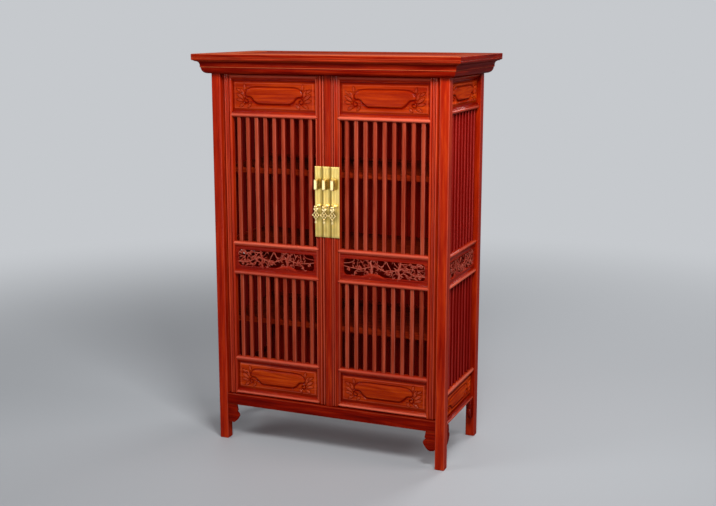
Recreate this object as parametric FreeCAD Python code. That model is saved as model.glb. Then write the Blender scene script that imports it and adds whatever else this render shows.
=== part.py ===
import FreeCAD, Part
import math
import os

Vector = FreeCAD.Vector

# Overall sizes of the cabinet, in millimetres
overall_height = 1650.0
body_width = 1023.0
body_depth = 467.0
cornice_height = 80.0
cornice_overhang = 59.0
cornice_member_inset = 46.0
post_side = 40.0
post_arris = 4.0
post_tenon_side = 16.0
post_tenon_height = 34.0

# Sill rail under the doors, and the case floor that stands behind the doors as their stop
sill_bottom = 158.0
sill_height = 47.0
sill_depth = 52.0
sill_setback = 1.0
sill_arris = 3.0

# Mortise and tenon joints of every rail
tenon_length = 12.0
tenon_thickness = 9.0
tenon_setback = 10.0
tenon_shoulder = 4.0
case_tenon_setback = 4.0

# Door leaves: reeded stiles, thumb-moulded rails
door_recess = 11.0
door_thickness = 26.0
door_side_gap = 1.5
door_top_gap = 2.0
door_bottom_gap = 3.0
centre_gap = 1.0
outer_stile_width = 42.0
inner_stile_width = 34.0
stile_arris = 4.0
reed_width = 8.0
reed_depth = 1.6
reed_groove = 1.0
bead_width = 14.0
bead_height = 4.0
inner_edge_drop = 7.0
end_rail_height = 22.0
rail_height = 24.0
rail_round = 7.0
lower_panel_height = 121.0
lower_lattice_height = 359.0
openwork_height = 94.0
upper_panel_height = 127.0

# Wooden door pivots, which turn in sockets in the sill rail and the cornice
pivot_round = 8.0
pivot_radius = 6.0
pivot_clearance = 0.1
pivot_length_below = 12.0
pivot_length_above = 14.0
pivot_end_clearance = 0.3
door_lift_allowance = 14.0

# Removable centre post between the doors
centre_post_width = 34.0
centre_reed_width = 14.0
centre_post_lift = 12.0
centre_post_entry = 6.0
centre_tenon_width = 16.0
centre_tenon_depth = 10.0
centre_tenon_length = 8.0
centre_pocket_clearance = 0.5

# Lattice bars
bar_count = 9
bar_width = 16.0
bar_back_inset = 0.5
bar_recess = 9.0
bar_crown = 2.5
end_gap_share = 0.8

# Floating panels: a tongue in a groove, a raised field and a low cartouche
panel_recess = 10.0
panel_field_rise = 4.0
panel_board = 6.0
panel_groove = 5.0
field_margin = 6.0
field_slope = 7.0
cartouche_margin_end = 30.0
cartouche_margin_edge = 24.0
cartouche_rise = 1.8

# Pierced panels with a flowering branch
openwork_recess = 9.0
openwork_board = 8.0
openwork_carving = 7.0
window_margin_end = 14.0
window_margin_edge = 13.0
window_corner = 14.0
stem_root_width = 9.0
stem_tip_width = 5.0
twig_width = 4.0
trunk_width = 8.0
mound_height = 16.0
blossom_radius = 10.5
leaf_length = 25.0
leaf_rise = 4.5

# Side frames
side_recess = 7.0
side_bottom = 172.0
side_end_rail_height = 20.0
side_lower_panel_height = 96.0
side_upper_panel_height = 100.0

# Shelves, floor and their bearers
shelf_thickness = 22.0
lower_shelf_top = 547.0
middle_shelf_top = 864.0
upper_shelf_top = 1186.0
floor_rise = 20.0
shelf_clearance = 0.5
bearer_width = 16.0
bearer_height = 22.0

# Framed back
back_rail_height = 44.0
back_rail_depth = 24.0
back_setback = 4.0
back_panel_thickness = 8.0
back_panel_recess = 8.0

# Top panel in the cornice frame
top_panel_thickness = 12.0
top_panel_recess = 3.0
top_panel_groove = 8.0
batten_width = 32.0
batten_height = 22.0
batten_place_share = 0.36

# Scalloped brackets beside the feet
bracket_width = 51.0
bracket_height = 82.0
bracket_thickness = 12.0
bracket_setback = 4.0

# Brass face plates, lock lugs, staples and pendants
plate_width = 35.0
plate_height = 288.0
plate_bottom = 921.0
plate_edge = 1.2
plate_reed = 1.0
plate_reeds = 3
lug_width = 12.0
lug_height = 42.0
lug_reach = 38.0
lug_round = 3.0
lug_above_plate_foot = 197.0
lug_bore_radius = 6.0
lug_bore_from_end = 14.0
lug_shank_height = 20.0
lug_shank_width = 6.0
shank_length = 15.0
staple_above_plate_foot = 129.0
staple_reach = 34.0
staple_stem_radius = 3.5
staple_eye_radius = 5.5
staple_eye_width = 5.0
staple_collar_radius = 7.5
staple_collar = 4.5
pendant_pin_radius = 2.0
pendant_pin_clearance = 0.1
pendant_ear_width = 3.0
pendant_ear_gap = 0.4
pendant_ear_radius = 4.5
pendant_thickness = 3.0
knot_pitch = 9.0
knot_strip = 3.4
knot_loop_radius = 3.2
pendant_head_width = 20.0
pendant_head_height = 10.0
pendant_drop_length = 17.0
pendant_drop_radius = 5.0

# Turns of the pieces that are placed by turning
quarter_turn = 90.0

# Outline of the cornice: outward and upward shares, and the rise of the edge that follows
cornice_outline_shares = [
    (0.085, 0.0, 0.092),
    (0.542, 0.288, 0.0),
    (0.559, 0.438, -0.062),
    (0.881, 0.65, 0.03),
    (1.0, 0.725, 0.0),
    (1.0, 0.963, 0.012),
    (0.949, 1.0, 0.0),
]

# Outline of a bracket: shares from the post and down from the rail, and each edge's rise
bracket_outline_shares = [
    (0.0, 0.0, 0.0),
    (0.0, 0.94, 0.0),
    (0.32, 1.0, 0.02),
    (0.62, 0.97, 0.03),
    (0.95, 0.72, 0.02),
    (1.0, 0.52, 0.03),
    (0.8, 0.37, 0.0),
    (0.87, 0.26, 0.04),
    (0.8, 0.0, 0.0),
]

# Upper right quarter of a cartouche: shares of its half width and half height, and each edge's rise
cartouche_quarter_shares = [
    (1.0, 0.3, 0.0),
    (0.95, 0.36, 0.1),
    (0.93, 0.86, 0.1),
    (0.84, 1.0, 0.0),
]
cartouche_end_rise_share = 0.09

# Flowering branch: places as shares of the window's width and height
stem_shares = [(1.0, 0.26), (0.87, 0.3), (0.72, 0.58), (0.55, 0.36), (0.38, 0.62), (0.2, 0.42), (0.0, 0.56)]
twig_shares = [
    ((0.87, 0.3), (0.93, 1.0)),
    ((0.72, 0.58), (0.64, 1.0)),
    ((0.78, 0.47), (0.72, 0.0)),
    ((0.55, 0.36), (0.48, 0.0)),
    ((0.38, 0.62), (0.31, 1.0)),
    ((0.2, 0.42), (0.27, 0.0)),
]
trunk_shares = [((0.33, 0.0), (0.37, 1.0)), ((0.67, 0.0), (0.7, 1.0))]
mound_shares = (0.26, 0.52)
blossom_shares = [(0.87, 0.34), (0.78, 0.62), (0.56, 0.34), (0.2, 0.46)]
stem_leaf_share = 0.55
twig_leaf_shares = (0.4, 0.72)
leaf_turn = 48.0
blossom_petals = 5

# Height of the pendants' knot over its width
knot_height_share = 1.4

# Shares of small forms
blossom_waist_share = 0.72
petal_rise_share = 0.3
arris_rise_share = 0.25
quarter_rise_share = 0.2929
head_foot_share = 0.35
head_side_share = 0.4
head_top_share = 0.5
head_rise_share = 0.12

# Places that follow from the sizes
half_width = body_width / 2
half_depth = body_depth / 2
body_top = overall_height - cornice_height
post_inner_x = half_width - post_side
post_inner_y = half_depth - post_side
sill_top = sill_bottom + sill_height
floor_top = sill_top + floor_rise
door_face = -half_depth + door_recess
door_back = door_face + door_thickness
door_bottom = sill_top + door_bottom_gap
door_top = body_top - door_top_gap
door_outer = post_inner_x - door_side_gap
door_inner = centre_post_width / 2 + centre_gap
opening_outer = door_outer - outer_stile_width
opening_inner = door_inner + inner_stile_width
pivot_x = door_outer - pivot_round
pivot_y = door_face + pivot_round
side_face = half_width - side_recess
side_back = side_face - door_thickness
shelf_end = side_back - shelf_clearance
back_face = half_depth - back_setback
back_panel_back = back_face - back_panel_recess
shelf_back = back_face - back_rail_depth
sill_front = -half_depth + sill_setback
sill_back = sill_front + sill_depth
plate_pitch = door_inner + (plate_width - centre_gap) / 2 + centre_gap
lug_bottom = plate_bottom + lug_above_plate_foot
staple_height = plate_bottom + staple_above_plate_foot

# Levels of the six rails of a door, from the bottom, each as its lower edge and height
lower_rail_z = door_bottom + end_rail_height + lower_panel_height
openwork_lower_rail_z = lower_rail_z + rail_height + lower_lattice_height
openwork_upper_rail_z = openwork_lower_rail_z + rail_height + openwork_height
door_top_rail_z = door_top - end_rail_height
upper_rail_z = door_top_rail_z - upper_panel_height - rail_height
door_rails = [
    (door_bottom, end_rail_height),
    (lower_rail_z, rail_height),
    (openwork_lower_rail_z, rail_height),
    (openwork_upper_rail_z, rail_height),
    (upper_rail_z, rail_height),
    (door_top_rail_z, end_rail_height),
]

# Levels of the six rails of a side, whose pierced panel lines up with the doors'
side_top_rail_z = body_top - side_end_rail_height
side_rails = [
    (side_bottom, side_end_rail_height),
    (side_bottom + side_end_rail_height + side_lower_panel_height, rail_height),
    (openwork_lower_rail_z, rail_height),
    (openwork_upper_rail_z, rail_height),
    (side_top_rail_z - side_upper_panel_height - rail_height, rail_height),
    (side_top_rail_z, side_end_rail_height),
]


def box(x0, x1, y0, y1, z0, z1):
    """A block between two corners."""
    return Part.makeBox(x1 - x0, y1 - y0, z1 - z0, Vector(x0, y0, z0))


def bulged_face(points, place):
    """A flat face; the edge that leaves each point rises outwards by that point's third value."""
    edges = []
    for (u0, v0, rise), (u1, v1, _) in zip(points, points[1:] + points[:1]):
        start = place(u0, v0)
        end = place(u1, v1)
        if rise == 0:
            edges.append(Part.LineSegment(start, end).toShape())
            continue
        length = math.hypot(u1 - u0, v1 - v0)
        middle_u = (u0 + u1) / 2 + rise * (v1 - v0) / length
        middle_v = (v0 + v1) / 2 - rise * (u1 - u0) / length
        edges.append(Part.Arc(start, place(middle_u, middle_v), end).toShape())
    return Part.Face(Part.Wire(edges))


def upright(points, z0, z1):
    """A plan outline carried up from one level to another."""
    face = bulged_face(points, lambda x, y: Vector(x, y, z0))
    return face.extrude(Vector(0, 0, z1 - z0))


def mirrored(shapes):
    """The same pieces on the left side of the cabinet."""
    return [shape.mirror(Vector(), Vector(1, 0, 0)) for shape in shapes]


def on_right_door(shapes):
    """Moves pieces made about the plane y = 0 to the face of the doors."""
    moved = []
    for shape in shapes:
        copy = shape.copy()
        copy.translate(Vector(0, door_face, 0))
        moved.append(copy)
    return moved


def on_right_side(shapes):
    """Turns pieces made about the plane y = 0 to the face of the right side."""
    moved = []
    for shape in shapes:
        copy = shape.copy()
        copy.rotate(Vector(), Vector(0, 0, 1), quarter_turn)
        copy.translate(Vector(side_face, 0, 0))
        moved.append(copy)
    return moved


def moulded_rail(u0, u1, z, height):
    """A rail with a half-round front and a tenon at each end; its crown lies in the plane y = 0."""
    profile = [
        (rail_round, z, 0),
        (door_thickness, z, 0),
        (door_thickness, z + height, 0),
        (rail_round, z + height, rail_round),
    ]
    body = bulged_face(profile, lambda y, level: Vector(u0, y, level)).extrude(Vector(u1 - u0, 0, 0))
    tenon = box(
        u0 - tenon_length,
        u1 + tenon_length,
        tenon_setback,
        tenon_setback + tenon_thickness,
        z + tenon_shoulder,
        z + height - tenon_shoulder,
    )
    return body.fuse(tenon).removeSplitter()


def lattice_bars(u0, u1, z0, z1):
    """Evenly spaced bars with crowned fronts, seated between two rails."""
    spare = u1 - u0 - bar_count * bar_width
    gap = spare / (bar_count - 1 + 2 * end_gap_share)
    bar_back = door_thickness - bar_back_inset
    bars = []
    for number in range(bar_count):
        left = u0 + gap * end_gap_share + number * (bar_width + gap)
        section = [
            (left, bar_recess + bar_crown, bar_crown),
            (left + bar_width, bar_recess + bar_crown, 0),
            (left + bar_width, bar_back, 0),
            (left, bar_back, 0),
        ]
        bars.append(upright(section, z0, z1))
    return bars


def four_fold(quarter, end_rise):
    """A closed outline from its upper right quarter; third values go with the edges between points."""
    upper = list(quarter)
    for number in reversed(range(len(quarter))):
        u, v, _ = quarter[number]
        rise = quarter[number - 1][2] if number else end_rise
        upper.append((-u, v, rise))
    return upper + [(-u, -v, rise) for u, v, rise in upper]


def carved_panel(u0, u1, z0, z1):
    """A floating panel: a tongue all round, a raised field with sloping margins and a lobed cartouche."""
    board_front = panel_recess + panel_field_rise
    board = box(
        u0 - panel_groove,
        u1 + panel_groove,
        board_front,
        board_front + panel_board,
        z0 - panel_groove,
        z1 + panel_groove,
    )
    foot_u0, foot_u1 = u0 + field_margin, u1 - field_margin
    foot_z0, foot_z1 = z0 + field_margin, z1 - field_margin
    field = Part.makeWedge(
        foot_u0,
        -board_front,
        foot_z0,
        foot_z0 + field_slope,
        foot_u0 + field_slope,
        foot_u1,
        -panel_recess,
        foot_z1,
        foot_z1 - field_slope,
        foot_u1 - field_slope,
    )
    field = field.mirror(Vector(), Vector(0, 1, 0))
    half_u = (u1 - u0) / 2 - cartouche_margin_end
    half_z = (z1 - z0) / 2 - cartouche_margin_edge
    middle_u = (u0 + u1) / 2
    middle_z = (z0 + z1) / 2
    points = [
        (middle_u + half_u * u, middle_z + half_z * v, half_z * rise)
        for u, v, rise in four_fold(cartouche_quarter_shares, cartouche_end_rise_share)
    ]
    cartouche = bulged_face(points, lambda u, z: Vector(u, panel_recess, z))
    plate = cartouche.extrude(Vector(0, -cartouche_rise, 0))
    return board.multiFuse([field, plate]).removeSplitter()


def branch_outline(points, root_width, tip_width):
    """A tapering band along a bent line: its outline runs out on one side and back on the other."""
    near = []
    far = []
    last = len(points) - 1
    for number, (u, v) in enumerate(points):
        before = points[max(number - 1, 0)]
        after = points[min(number + 1, last)]
        along_u, along_v = after[0] - before[0], after[1] - before[1]
        length = math.hypot(along_u, along_v)
        half = (root_width + (tip_width - root_width) * number / last) / 2
        near.append((u - along_v / length * half, v + along_u / length * half, 0))
        far.append((u + along_v / length * half, v - along_u / length * half, 0))
    return near + far[::-1]


def grown_leaf(start, end, share, turn):
    """A leaf of two arcs that grows from a place along a branch, turned off the branch by an angle."""
    (start_u, start_v), (end_u, end_v) = start, end
    angle = math.atan2(end_v - start_v, end_u - start_u) + math.radians(turn)
    root_u = start_u + (end_u - start_u) * share
    root_v = start_v + (end_v - start_v) * share
    tip_u = root_u + leaf_length * math.cos(angle)
    tip_v = root_v + leaf_length * math.sin(angle)
    return [(root_u, root_v, leaf_rise), (tip_u, tip_v, leaf_rise)]


def blossom_outline(u, v):
    """An open flower: round petals between the points of a regular polygon."""
    waist = blossom_radius * blossom_waist_share
    rise = blossom_radius * petal_rise_share
    outline = []
    for petal in range(blossom_petals):
        angle = 2 * math.pi * petal / blossom_petals
        outline.append((u + waist * math.cos(angle), v + waist * math.sin(angle), rise))
    return outline


def openwork_panel(u0, u1, z0, z1):
    """A panel with a window, filled with a mound, two trunks and a flowering branch of the same board."""
    board = box(
        u0 - panel_groove,
        u1 + panel_groove,
        openwork_recess,
        openwork_recess + openwork_board,
        z0 - panel_groove,
        z1 + panel_groove,
    )
    left, right = u0 + window_margin_end, u1 - window_margin_end
    low, high = z0 + window_margin_edge, z1 - window_margin_edge
    width, height = right - left, high - low
    corner = window_corner
    rise = corner * quarter_rise_share

    def cut_face(points, depth):
        face = bulged_face(points, lambda u, z: Vector(u, openwork_recess, z))
        return face.extrude(Vector(0, depth, 0))

    window = [
        (left + corner, low, 0),
        (right - corner, low, rise),
        (right, low + corner, 0),
        (right, high - corner, rise),
        (right - corner, high, 0),
        (left + corner, high, rise),
        (left, high - corner, 0),
        (left, low + corner, rise),
    ]
    board = board.cut(cut_face(window, openwork_board))

    def place(shares):
        return [(left + width * u, low + height * v) for u, v in shares]

    stem = place(stem_shares)
    stem[0] = (right + window_margin_end / 2, stem[0][1])
    stem[-1] = (left - window_margin_end / 2, stem[-1][1])
    outlines = [branch_outline(stem, stem_root_width, stem_tip_width)]
    turn = leaf_turn
    for start, end in zip(stem, stem[1:]):
        outlines.append(grown_leaf(start, end, stem_leaf_share, turn))
        turn = -turn
    for start_share, end_share in twig_shares:
        start, (end_u, end_v) = place([start_share, end_share])
        reach = window_margin_edge / 2 if end_v > start[1] else -window_margin_edge / 2
        end = (end_u, end_v + reach)
        outlines.append(branch_outline([start, end], twig_width, twig_width))
        for share in twig_leaf_shares:
            outlines.append(grown_leaf(start, end, share, turn))
            turn = -turn
    for trunk in trunk_shares:
        (start_u, start_v), (end_u, end_v) = place(trunk)
        start = (start_u, start_v - window_margin_edge / 2)
        end = (end_u, end_v + window_margin_edge / 2)
        outlines.append(branch_outline([start, end], trunk_width, trunk_width))
    mound_left, mound_right = (left + width * share for share in mound_shares)
    mound_foot = low - window_margin_edge / 2
    outlines.append([
        (mound_left, mound_foot, 0),
        (mound_right, mound_foot, 0),
        (mound_right, low, mound_height),
        (mound_left, low, 0),
    ])
    outlines += [blossom_outline(u, v) for u, v in place(blossom_shares)]
    carving = [cut_face(outline, openwork_carving) for outline in outlines]
    return board.multiFuse(carving).removeSplitter()


def bay(u0, u1, rails):
    """The filling between two uprights: six rails, two lattices, two carved panels and a pierced one."""
    spaces = [(low + height, above) for (low, height), (above, _) in zip(rails, rails[1:])]
    solids = [moulded_rail(u0, u1, z, height) for z, height in rails]
    low_panel = carved_panel(u0, u1, *spaces[0])
    openwork = openwork_panel(u0, u1, *spaces[2])
    high_panel = carved_panel(u0, u1, *spaces[4])
    return {
        "lower_rails": [rail.cut(low_panel) for rail in solids[:2]],
        "middle_rails": [rail.cut(openwork) for rail in solids[2:4]],
        "upper_rails": [rail.cut(high_panel) for rail in solids[4:]],
        "bars": lattice_bars(u0, u1, *spaces[1]) + lattice_bars(u0, u1, *spaces[3]),
        "carved_panels": [low_panel, high_panel],
        "openwork": [openwork],
    }


def held_by_uprights(filling):
    """The pieces of a bay whose tenons and tongues enter the uprights."""
    held = []
    for name, solids in filling.items():
        if name != "bars":
            held += solids
    return held


def outer_stile():
    """The right door's hinge stile: two reeds, the outer one round the pivot, and a pin at each end."""
    first_groove = pivot_x - reed_groove - reed_width
    plan = [
        (opening_outer, door_face + stile_arris, stile_arris * arris_rise_share),
        (opening_outer + stile_arris, door_face, 0),
        (first_groove - reed_groove, door_face, 0),
        (first_groove, door_face + reed_depth, reed_depth),
        (pivot_x - reed_groove, door_face + reed_depth, 0),
        (pivot_x, door_face, pivot_round * quarter_rise_share),
        (door_outer, pivot_y, 0),
        (door_outer, door_back, 0),
        (opening_outer, door_back, 0),
    ]
    body = upright(plan, door_bottom, door_top)
    pin_foot = sill_top - pivot_length_below
    pin_head = body_top + pivot_length_above
    pin = Part.makeCylinder(pivot_radius, pin_head - pin_foot, Vector(pivot_x, pivot_y, pin_foot))
    return body.fuse(pin).removeSplitter()


def pivot_sockets(x):
    """The round holes for one door's pins; the upper one is deep enough to lift the door out."""
    radius = pivot_radius + pivot_clearance
    foot = sill_top - pivot_length_below - pivot_end_clearance
    head = body_top + pivot_length_above + door_lift_allowance
    return Part.makeCylinder(radius, head - foot, Vector(x, pivot_y, foot))


def inner_stile():
    """The right door's lock stile: a reed beside the centre post, a raised bead and a slope."""
    reed_base = door_face + bead_height + reed_depth
    bead_base = door_face + bead_height
    bead_start = door_inner + reed_width + reed_groove
    plan = [
        (door_inner, reed_base, reed_depth),
        (door_inner + reed_width, reed_base, 0),
        (bead_start, bead_base, bead_height),
        (bead_start + bead_width, bead_base, 0),
        (opening_inner, door_face + inner_edge_drop, 0),
        (opening_inner, door_back, 0),
        (door_inner, door_back, 0),
    ]
    return upright(plan, door_bottom, door_top)


def centre_post():
    """The loose post between the doors: three reeds, a tenon below and its head in a pocket above."""
    half = centre_post_width / 2
    half_reed = centre_reed_width / 2
    side_base = door_face + bead_height + reed_depth
    plan = [
        (-half, side_base, reed_depth),
        (-half_reed - reed_groove, side_base, 0),
        (-half_reed, door_face + bead_height, bead_height),
        (half_reed, door_face + bead_height, 0),
        (half_reed + reed_groove, side_base, reed_depth),
        (half, side_base, 0),
        (half, door_back, 0),
        (-half, door_back, 0),
    ]
    body = upright(plan, sill_top, body_top + centre_post_entry)
    middle_y = (door_face + door_back) / 2
    tenon = box(
        -centre_tenon_width / 2,
        centre_tenon_width / 2,
        middle_y - centre_tenon_depth / 2,
        middle_y + centre_tenon_depth / 2,
        sill_top - centre_tenon_length,
        sill_top,
    )
    return body.fuse(tenon).removeSplitter()


def centre_post_pockets():
    """The mortise in the sill and the deeper pocket above that lets the centre post be lifted."""
    room = centre_pocket_clearance
    middle_y = (door_face + door_back) / 2
    mortise = box(
        -centre_tenon_width / 2 - room,
        centre_tenon_width / 2 + room,
        middle_y - centre_tenon_depth / 2 - room,
        middle_y + centre_tenon_depth / 2 + room,
        sill_top - centre_tenon_length - room,
        sill_top,
    )
    pocket = box(
        -centre_post_width / 2 - room,
        centre_post_width / 2 + room,
        door_face - room,
        door_back + room,
        body_top,
        body_top + centre_post_entry + centre_post_lift + room,
    )
    return mortise, pocket


def post(side_x, side_y, held):
    """A corner post with rounded arrises and a tenon above; side_x and side_y are -1 or 1."""
    inner_x, outer_x = post_inner_x, half_width
    inner_y, outer_y = post_inner_y, half_depth
    rise = post_arris * quarter_rise_share
    plan = [
        (inner_x, inner_y + post_arris, rise),
        (inner_x + post_arris, inner_y, 0),
        (outer_x - post_arris, inner_y, rise),
        (outer_x, inner_y + post_arris, 0),
        (outer_x, outer_y - post_arris, rise),
        (outer_x - post_arris, outer_y, 0),
        (inner_x + post_arris, outer_y, rise),
        (inner_x, outer_y - post_arris, 0),
    ]
    middle_x = (inner_x + outer_x) / 2
    middle_y = (inner_y + outer_y) / 2
    half = post_tenon_side / 2
    tenon_top = body_top + post_tenon_height
    tenon = box(middle_x - half, middle_x + half, middle_y - half, middle_y + half, body_top, tenon_top)
    solid = upright(plan, 0, body_top).fuse(tenon).removeSplitter()
    if side_y < 0:
        solid = solid.mirror(Vector(), Vector(0, 1, 0))
    if side_x < 0:
        solid = solid.mirror(Vector(), Vector(1, 0, 0))
    return solid.cut(Part.makeCompound(held))


def case_rail(y_front, y_back, z0, z1, tenon_front):
    """A plain rail between two posts, with its front arrises eased and a tenon at each end."""
    arris = sill_arris
    rise = arris * quarter_rise_share
    profile = [
        (y_front + arris, z0, 0),
        (y_back, z0, 0),
        (y_back, z1, 0),
        (y_front + arris, z1, rise),
        (y_front, z1 - arris, 0),
        (y_front, z0 + arris, rise),
    ]
    end_face = bulged_face(profile, lambda y, z: Vector(-post_inner_x, y, z))
    body = end_face.extrude(Vector(2 * post_inner_x, 0, 0))
    reach = post_inner_x + tenon_length
    tenon = box(
        -reach,
        reach,
        tenon_front,
        tenon_front + tenon_thickness,
        z0 + tenon_shoulder,
        z1 - tenon_shoulder,
    )
    return body.fuse(tenon).removeSplitter()


def back_frame():
    """The four rails of the back and the three panels held in their grooves."""
    front = back_face - back_rail_depth
    tenon_front = back_face - case_tenon_setback - tenon_thickness
    levels = [(sill_bottom, sill_height)]
    for shelf_top in (lower_shelf_top, upper_shelf_top):
        levels.append((shelf_top - shelf_thickness / 2 - back_rail_height / 2, back_rail_height))
    levels.append((body_top - back_rail_height, back_rail_height))
    rails = [case_rail(front, back_face, z, z + height, tenon_front) for z, height in levels]
    panels = []
    for (low, height), (above, _) in zip(levels, levels[1:]):
        panels.append(
            box(
                -post_inner_x - panel_groove,
                post_inner_x + panel_groove,
                back_panel_back - back_panel_thickness,
                back_panel_back,
                low + height - panel_groove,
                above + panel_groove,
            )
        )
    held = Part.makeCompound(panels)
    return [rail.cut(held) for rail in rails], panels


def shelf(top, thickness, posts):
    """A board from behind the doors to the back, notched round the back posts."""
    board = box(-shelf_end, shelf_end, -post_inner_y + shelf_clearance, shelf_back, top - thickness, top)
    notches = []
    for solid in posts:
        bounds = solid.BoundBox
        notches.append(
            box(
                bounds.XMin - shelf_clearance,
                bounds.XMax + shelf_clearance,
                bounds.YMin - shelf_clearance,
                bounds.YMax + shelf_clearance,
                0,
                overall_height,
            )
        )
    return board.cut(Part.makeCompound(notches))


def bearers(level, front):
    """A batten under each end of one shelf, from a place behind the doors to the back posts."""
    right = box(shelf_end - bearer_width, shelf_end, front, post_inner_y, level - bearer_height, level)
    return [right] + mirrored([right])


def cornice_member(along_x, side):
    """One mitred member of the cornice frame: a moulded profile carried along a side of the cabinet."""
    reach = half_width if along_x else half_depth
    face = half_depth if along_x else half_width
    outline = [(-cornice_member_inset, body_top, 0)]
    for out_share, up_share, rise_share in cornice_outline_shares:
        up = body_top + cornice_height * up_share
        outline.append((cornice_overhang * out_share, up, cornice_height * rise_share))
    outline.append((-cornice_member_inset, overall_height, 0))
    length = 2 * (reach + cornice_overhang)
    start = -reach - cornice_overhang
    body = bulged_face(outline, lambda out, z: Vector(start, -face - out, z)).extrude(Vector(length, 0, 0))
    inner = reach - cornice_member_inset
    mitre = [
        (start, -face - cornice_overhang, 0),
        (-start, -face - cornice_overhang, 0),
        (inner, -face + cornice_member_inset, 0),
        (-inner, -face + cornice_member_inset, 0),
    ]
    solid = body.common(upright(mitre, body_top, overall_height))
    if not along_x:
        solid.rotate(Vector(), Vector(0, 0, 1), quarter_turn)
    if side > 0:
        turns = 2 * quarter_turn
        solid.rotate(Vector(), Vector(0, 0, 1), turns)
    return solid


def top_panel():
    """The floating panel in the cornice frame, a little below its upper edge."""
    reach_x = half_width - cornice_member_inset + top_panel_groove
    reach_y = half_depth - cornice_member_inset + top_panel_groove
    top = overall_height - top_panel_recess
    tongue_top = top - top_panel_recess
    board = box(-reach_x, reach_x, -reach_y, reach_y, tongue_top - top_panel_thickness, tongue_top)
    inner_x = reach_x - top_panel_groove
    inner_y = reach_y - top_panel_groove
    field = box(-inner_x, inner_x, -inner_y, inner_y, tongue_top, top)
    return board.fuse(field).removeSplitter()


def top_battens():
    """Two battens under the top panel, tenoned into the front and back members of the cornice."""
    top = overall_height - 2 * top_panel_recess - top_panel_thickness
    foot = top - batten_height
    middle = half_width * batten_place_share
    half = batten_width / 2
    reach = half_depth - cornice_member_inset
    body = box(middle - half, middle + half, -reach, reach, foot, top)
    tenon = box(
        middle - half + tenon_shoulder,
        middle + half - tenon_shoulder,
        -reach - tenon_length,
        reach + tenon_length,
        foot + tenon_shoulder,
        foot + tenon_shoulder + tenon_thickness,
    )
    right = body.fuse(tenon).removeSplitter()
    return [right] + mirrored([right])


def bracket():
    """A scalloped bracket in the plane y = 0, hanging from z = 0 beside an upright at u = 0."""
    points = [
        (-bracket_width * across, -bracket_height * down, bracket_height * rise)
        for across, down, rise in reversed_outline(bracket_outline_shares)
    ]
    face = bulged_face(points, lambda u, v: Vector(u, 0, v))
    return face.extrude(Vector(0, bracket_thickness, 0))


def reversed_outline(points):
    """The same outline run the other way round, each edge keeping its own rise."""
    turned = []
    for number in reversed(range(len(points))):
        u, v, _ = points[number]
        turned.append((u, v, points[number - 1][2]))
    return turned


def leg_brackets():
    """Brackets under the sill rail at the front, and under both side rails at all four posts."""
    front = bracket()
    front.translate(Vector(post_inner_x, -half_depth + bracket_setback, sill_bottom))
    at_back_post = bracket()
    at_front_post = at_back_post.mirror(Vector(), Vector(1, 0, 0))
    at_back_post.translate(Vector(post_inner_y, 0, side_bottom))
    at_front_post.translate(Vector(-post_inner_y, 0, side_bottom))
    right = [front] + on_right_side([at_back_post, at_front_post])
    return right + mirrored(right)


def face_plate(x):
    """A brass strip with shallow reeds, seated on the crowns of the wood behind it."""
    left = x - plate_width / 2
    reed = plate_width / plate_reeds
    front = door_face - plate_edge
    plan = [(left, door_face, 0)]
    for number in range(plate_reeds):
        plan.append((left + number * reed, front, plate_reed))
    plan.append((left + plate_width, front, 0))
    plan.append((left + plate_width, door_face, 0))
    return upright(plan, plate_bottom, plate_bottom + plate_height)


def lock_lug(x):
    """A lug through the plate, bored crosswise for the lock bar, with its shank in the wood."""
    end = door_face - lug_reach
    top = lug_bottom + lug_height
    rise = lug_round * quarter_rise_share
    outline = [
        (end + lug_round, lug_bottom, 0),
        (door_face, lug_bottom, 0),
        (door_face, top, 0),
        (end + lug_round, top, rise),
        (end, top - lug_round, 0),
        (end, lug_bottom + lug_round, rise),
    ]
    left = x - lug_width / 2
    body = bulged_face(outline, lambda y, z: Vector(left, y, z)).extrude(Vector(lug_width, 0, 0))
    middle = lug_bottom + lug_height / 2
    bore_start = Vector(left, end + lug_bore_from_end, middle)
    bore = Part.makeCylinder(lug_bore_radius, lug_width, bore_start, Vector(1, 0, 0))
    shank = box(
        x - lug_shank_width / 2,
        x + lug_shank_width / 2,
        door_face,
        door_face + shank_length,
        middle - lug_shank_height / 2,
        middle + lug_shank_height / 2,
    )
    return body.cut(bore).fuse(shank).removeSplitter()


def staple(x):
    """A stem through the plate with a collar on it and an eye at its end for the pendant's pin."""
    eye_y = door_face - staple_reach
    back = door_face + shank_length
    outward, crosswise = Vector(0, -1, 0), Vector(1, 0, 0)
    stem = Part.makeCylinder(staple_stem_radius, back - eye_y, Vector(x, back, staple_height), outward)
    collar_foot = Vector(x, door_face - plate_edge - plate_reed, staple_height)
    collar = Part.makeCylinder(staple_collar_radius, staple_collar, collar_foot, outward)
    eye_start = Vector(x - staple_eye_width / 2, eye_y, staple_height)
    eye = Part.makeCylinder(staple_eye_radius, staple_eye_width, eye_start, crosswise)
    trimmed = stem.cut(eye_surround(x, eye_y))
    hole = pendant_pin_radius + pendant_pin_clearance
    bore = Part.makeCylinder(hole, staple_eye_width, eye_start, crosswise)
    return trimmed.multiFuse([collar, eye]).cut(bore).removeSplitter()


def eye_surround(x, eye_y):
    """The room round a staple's eye in which the pendant's two ears turn."""
    reach = staple_eye_radius + pendant_ear_gap
    half_outer = staple_stem_radius + pendant_ear_gap
    crosswise = Vector(1, 0, 0)
    outer_start = Vector(x - half_outer, eye_y, staple_height)
    outer = Part.makeCylinder(reach, 2 * half_outer, outer_start, crosswise)
    inner_start = Vector(x - staple_eye_width / 2, eye_y, staple_height)
    inner = Part.makeCylinder(reach, staple_eye_width, inner_start, crosswise)
    return outer.cut(inner)


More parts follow.
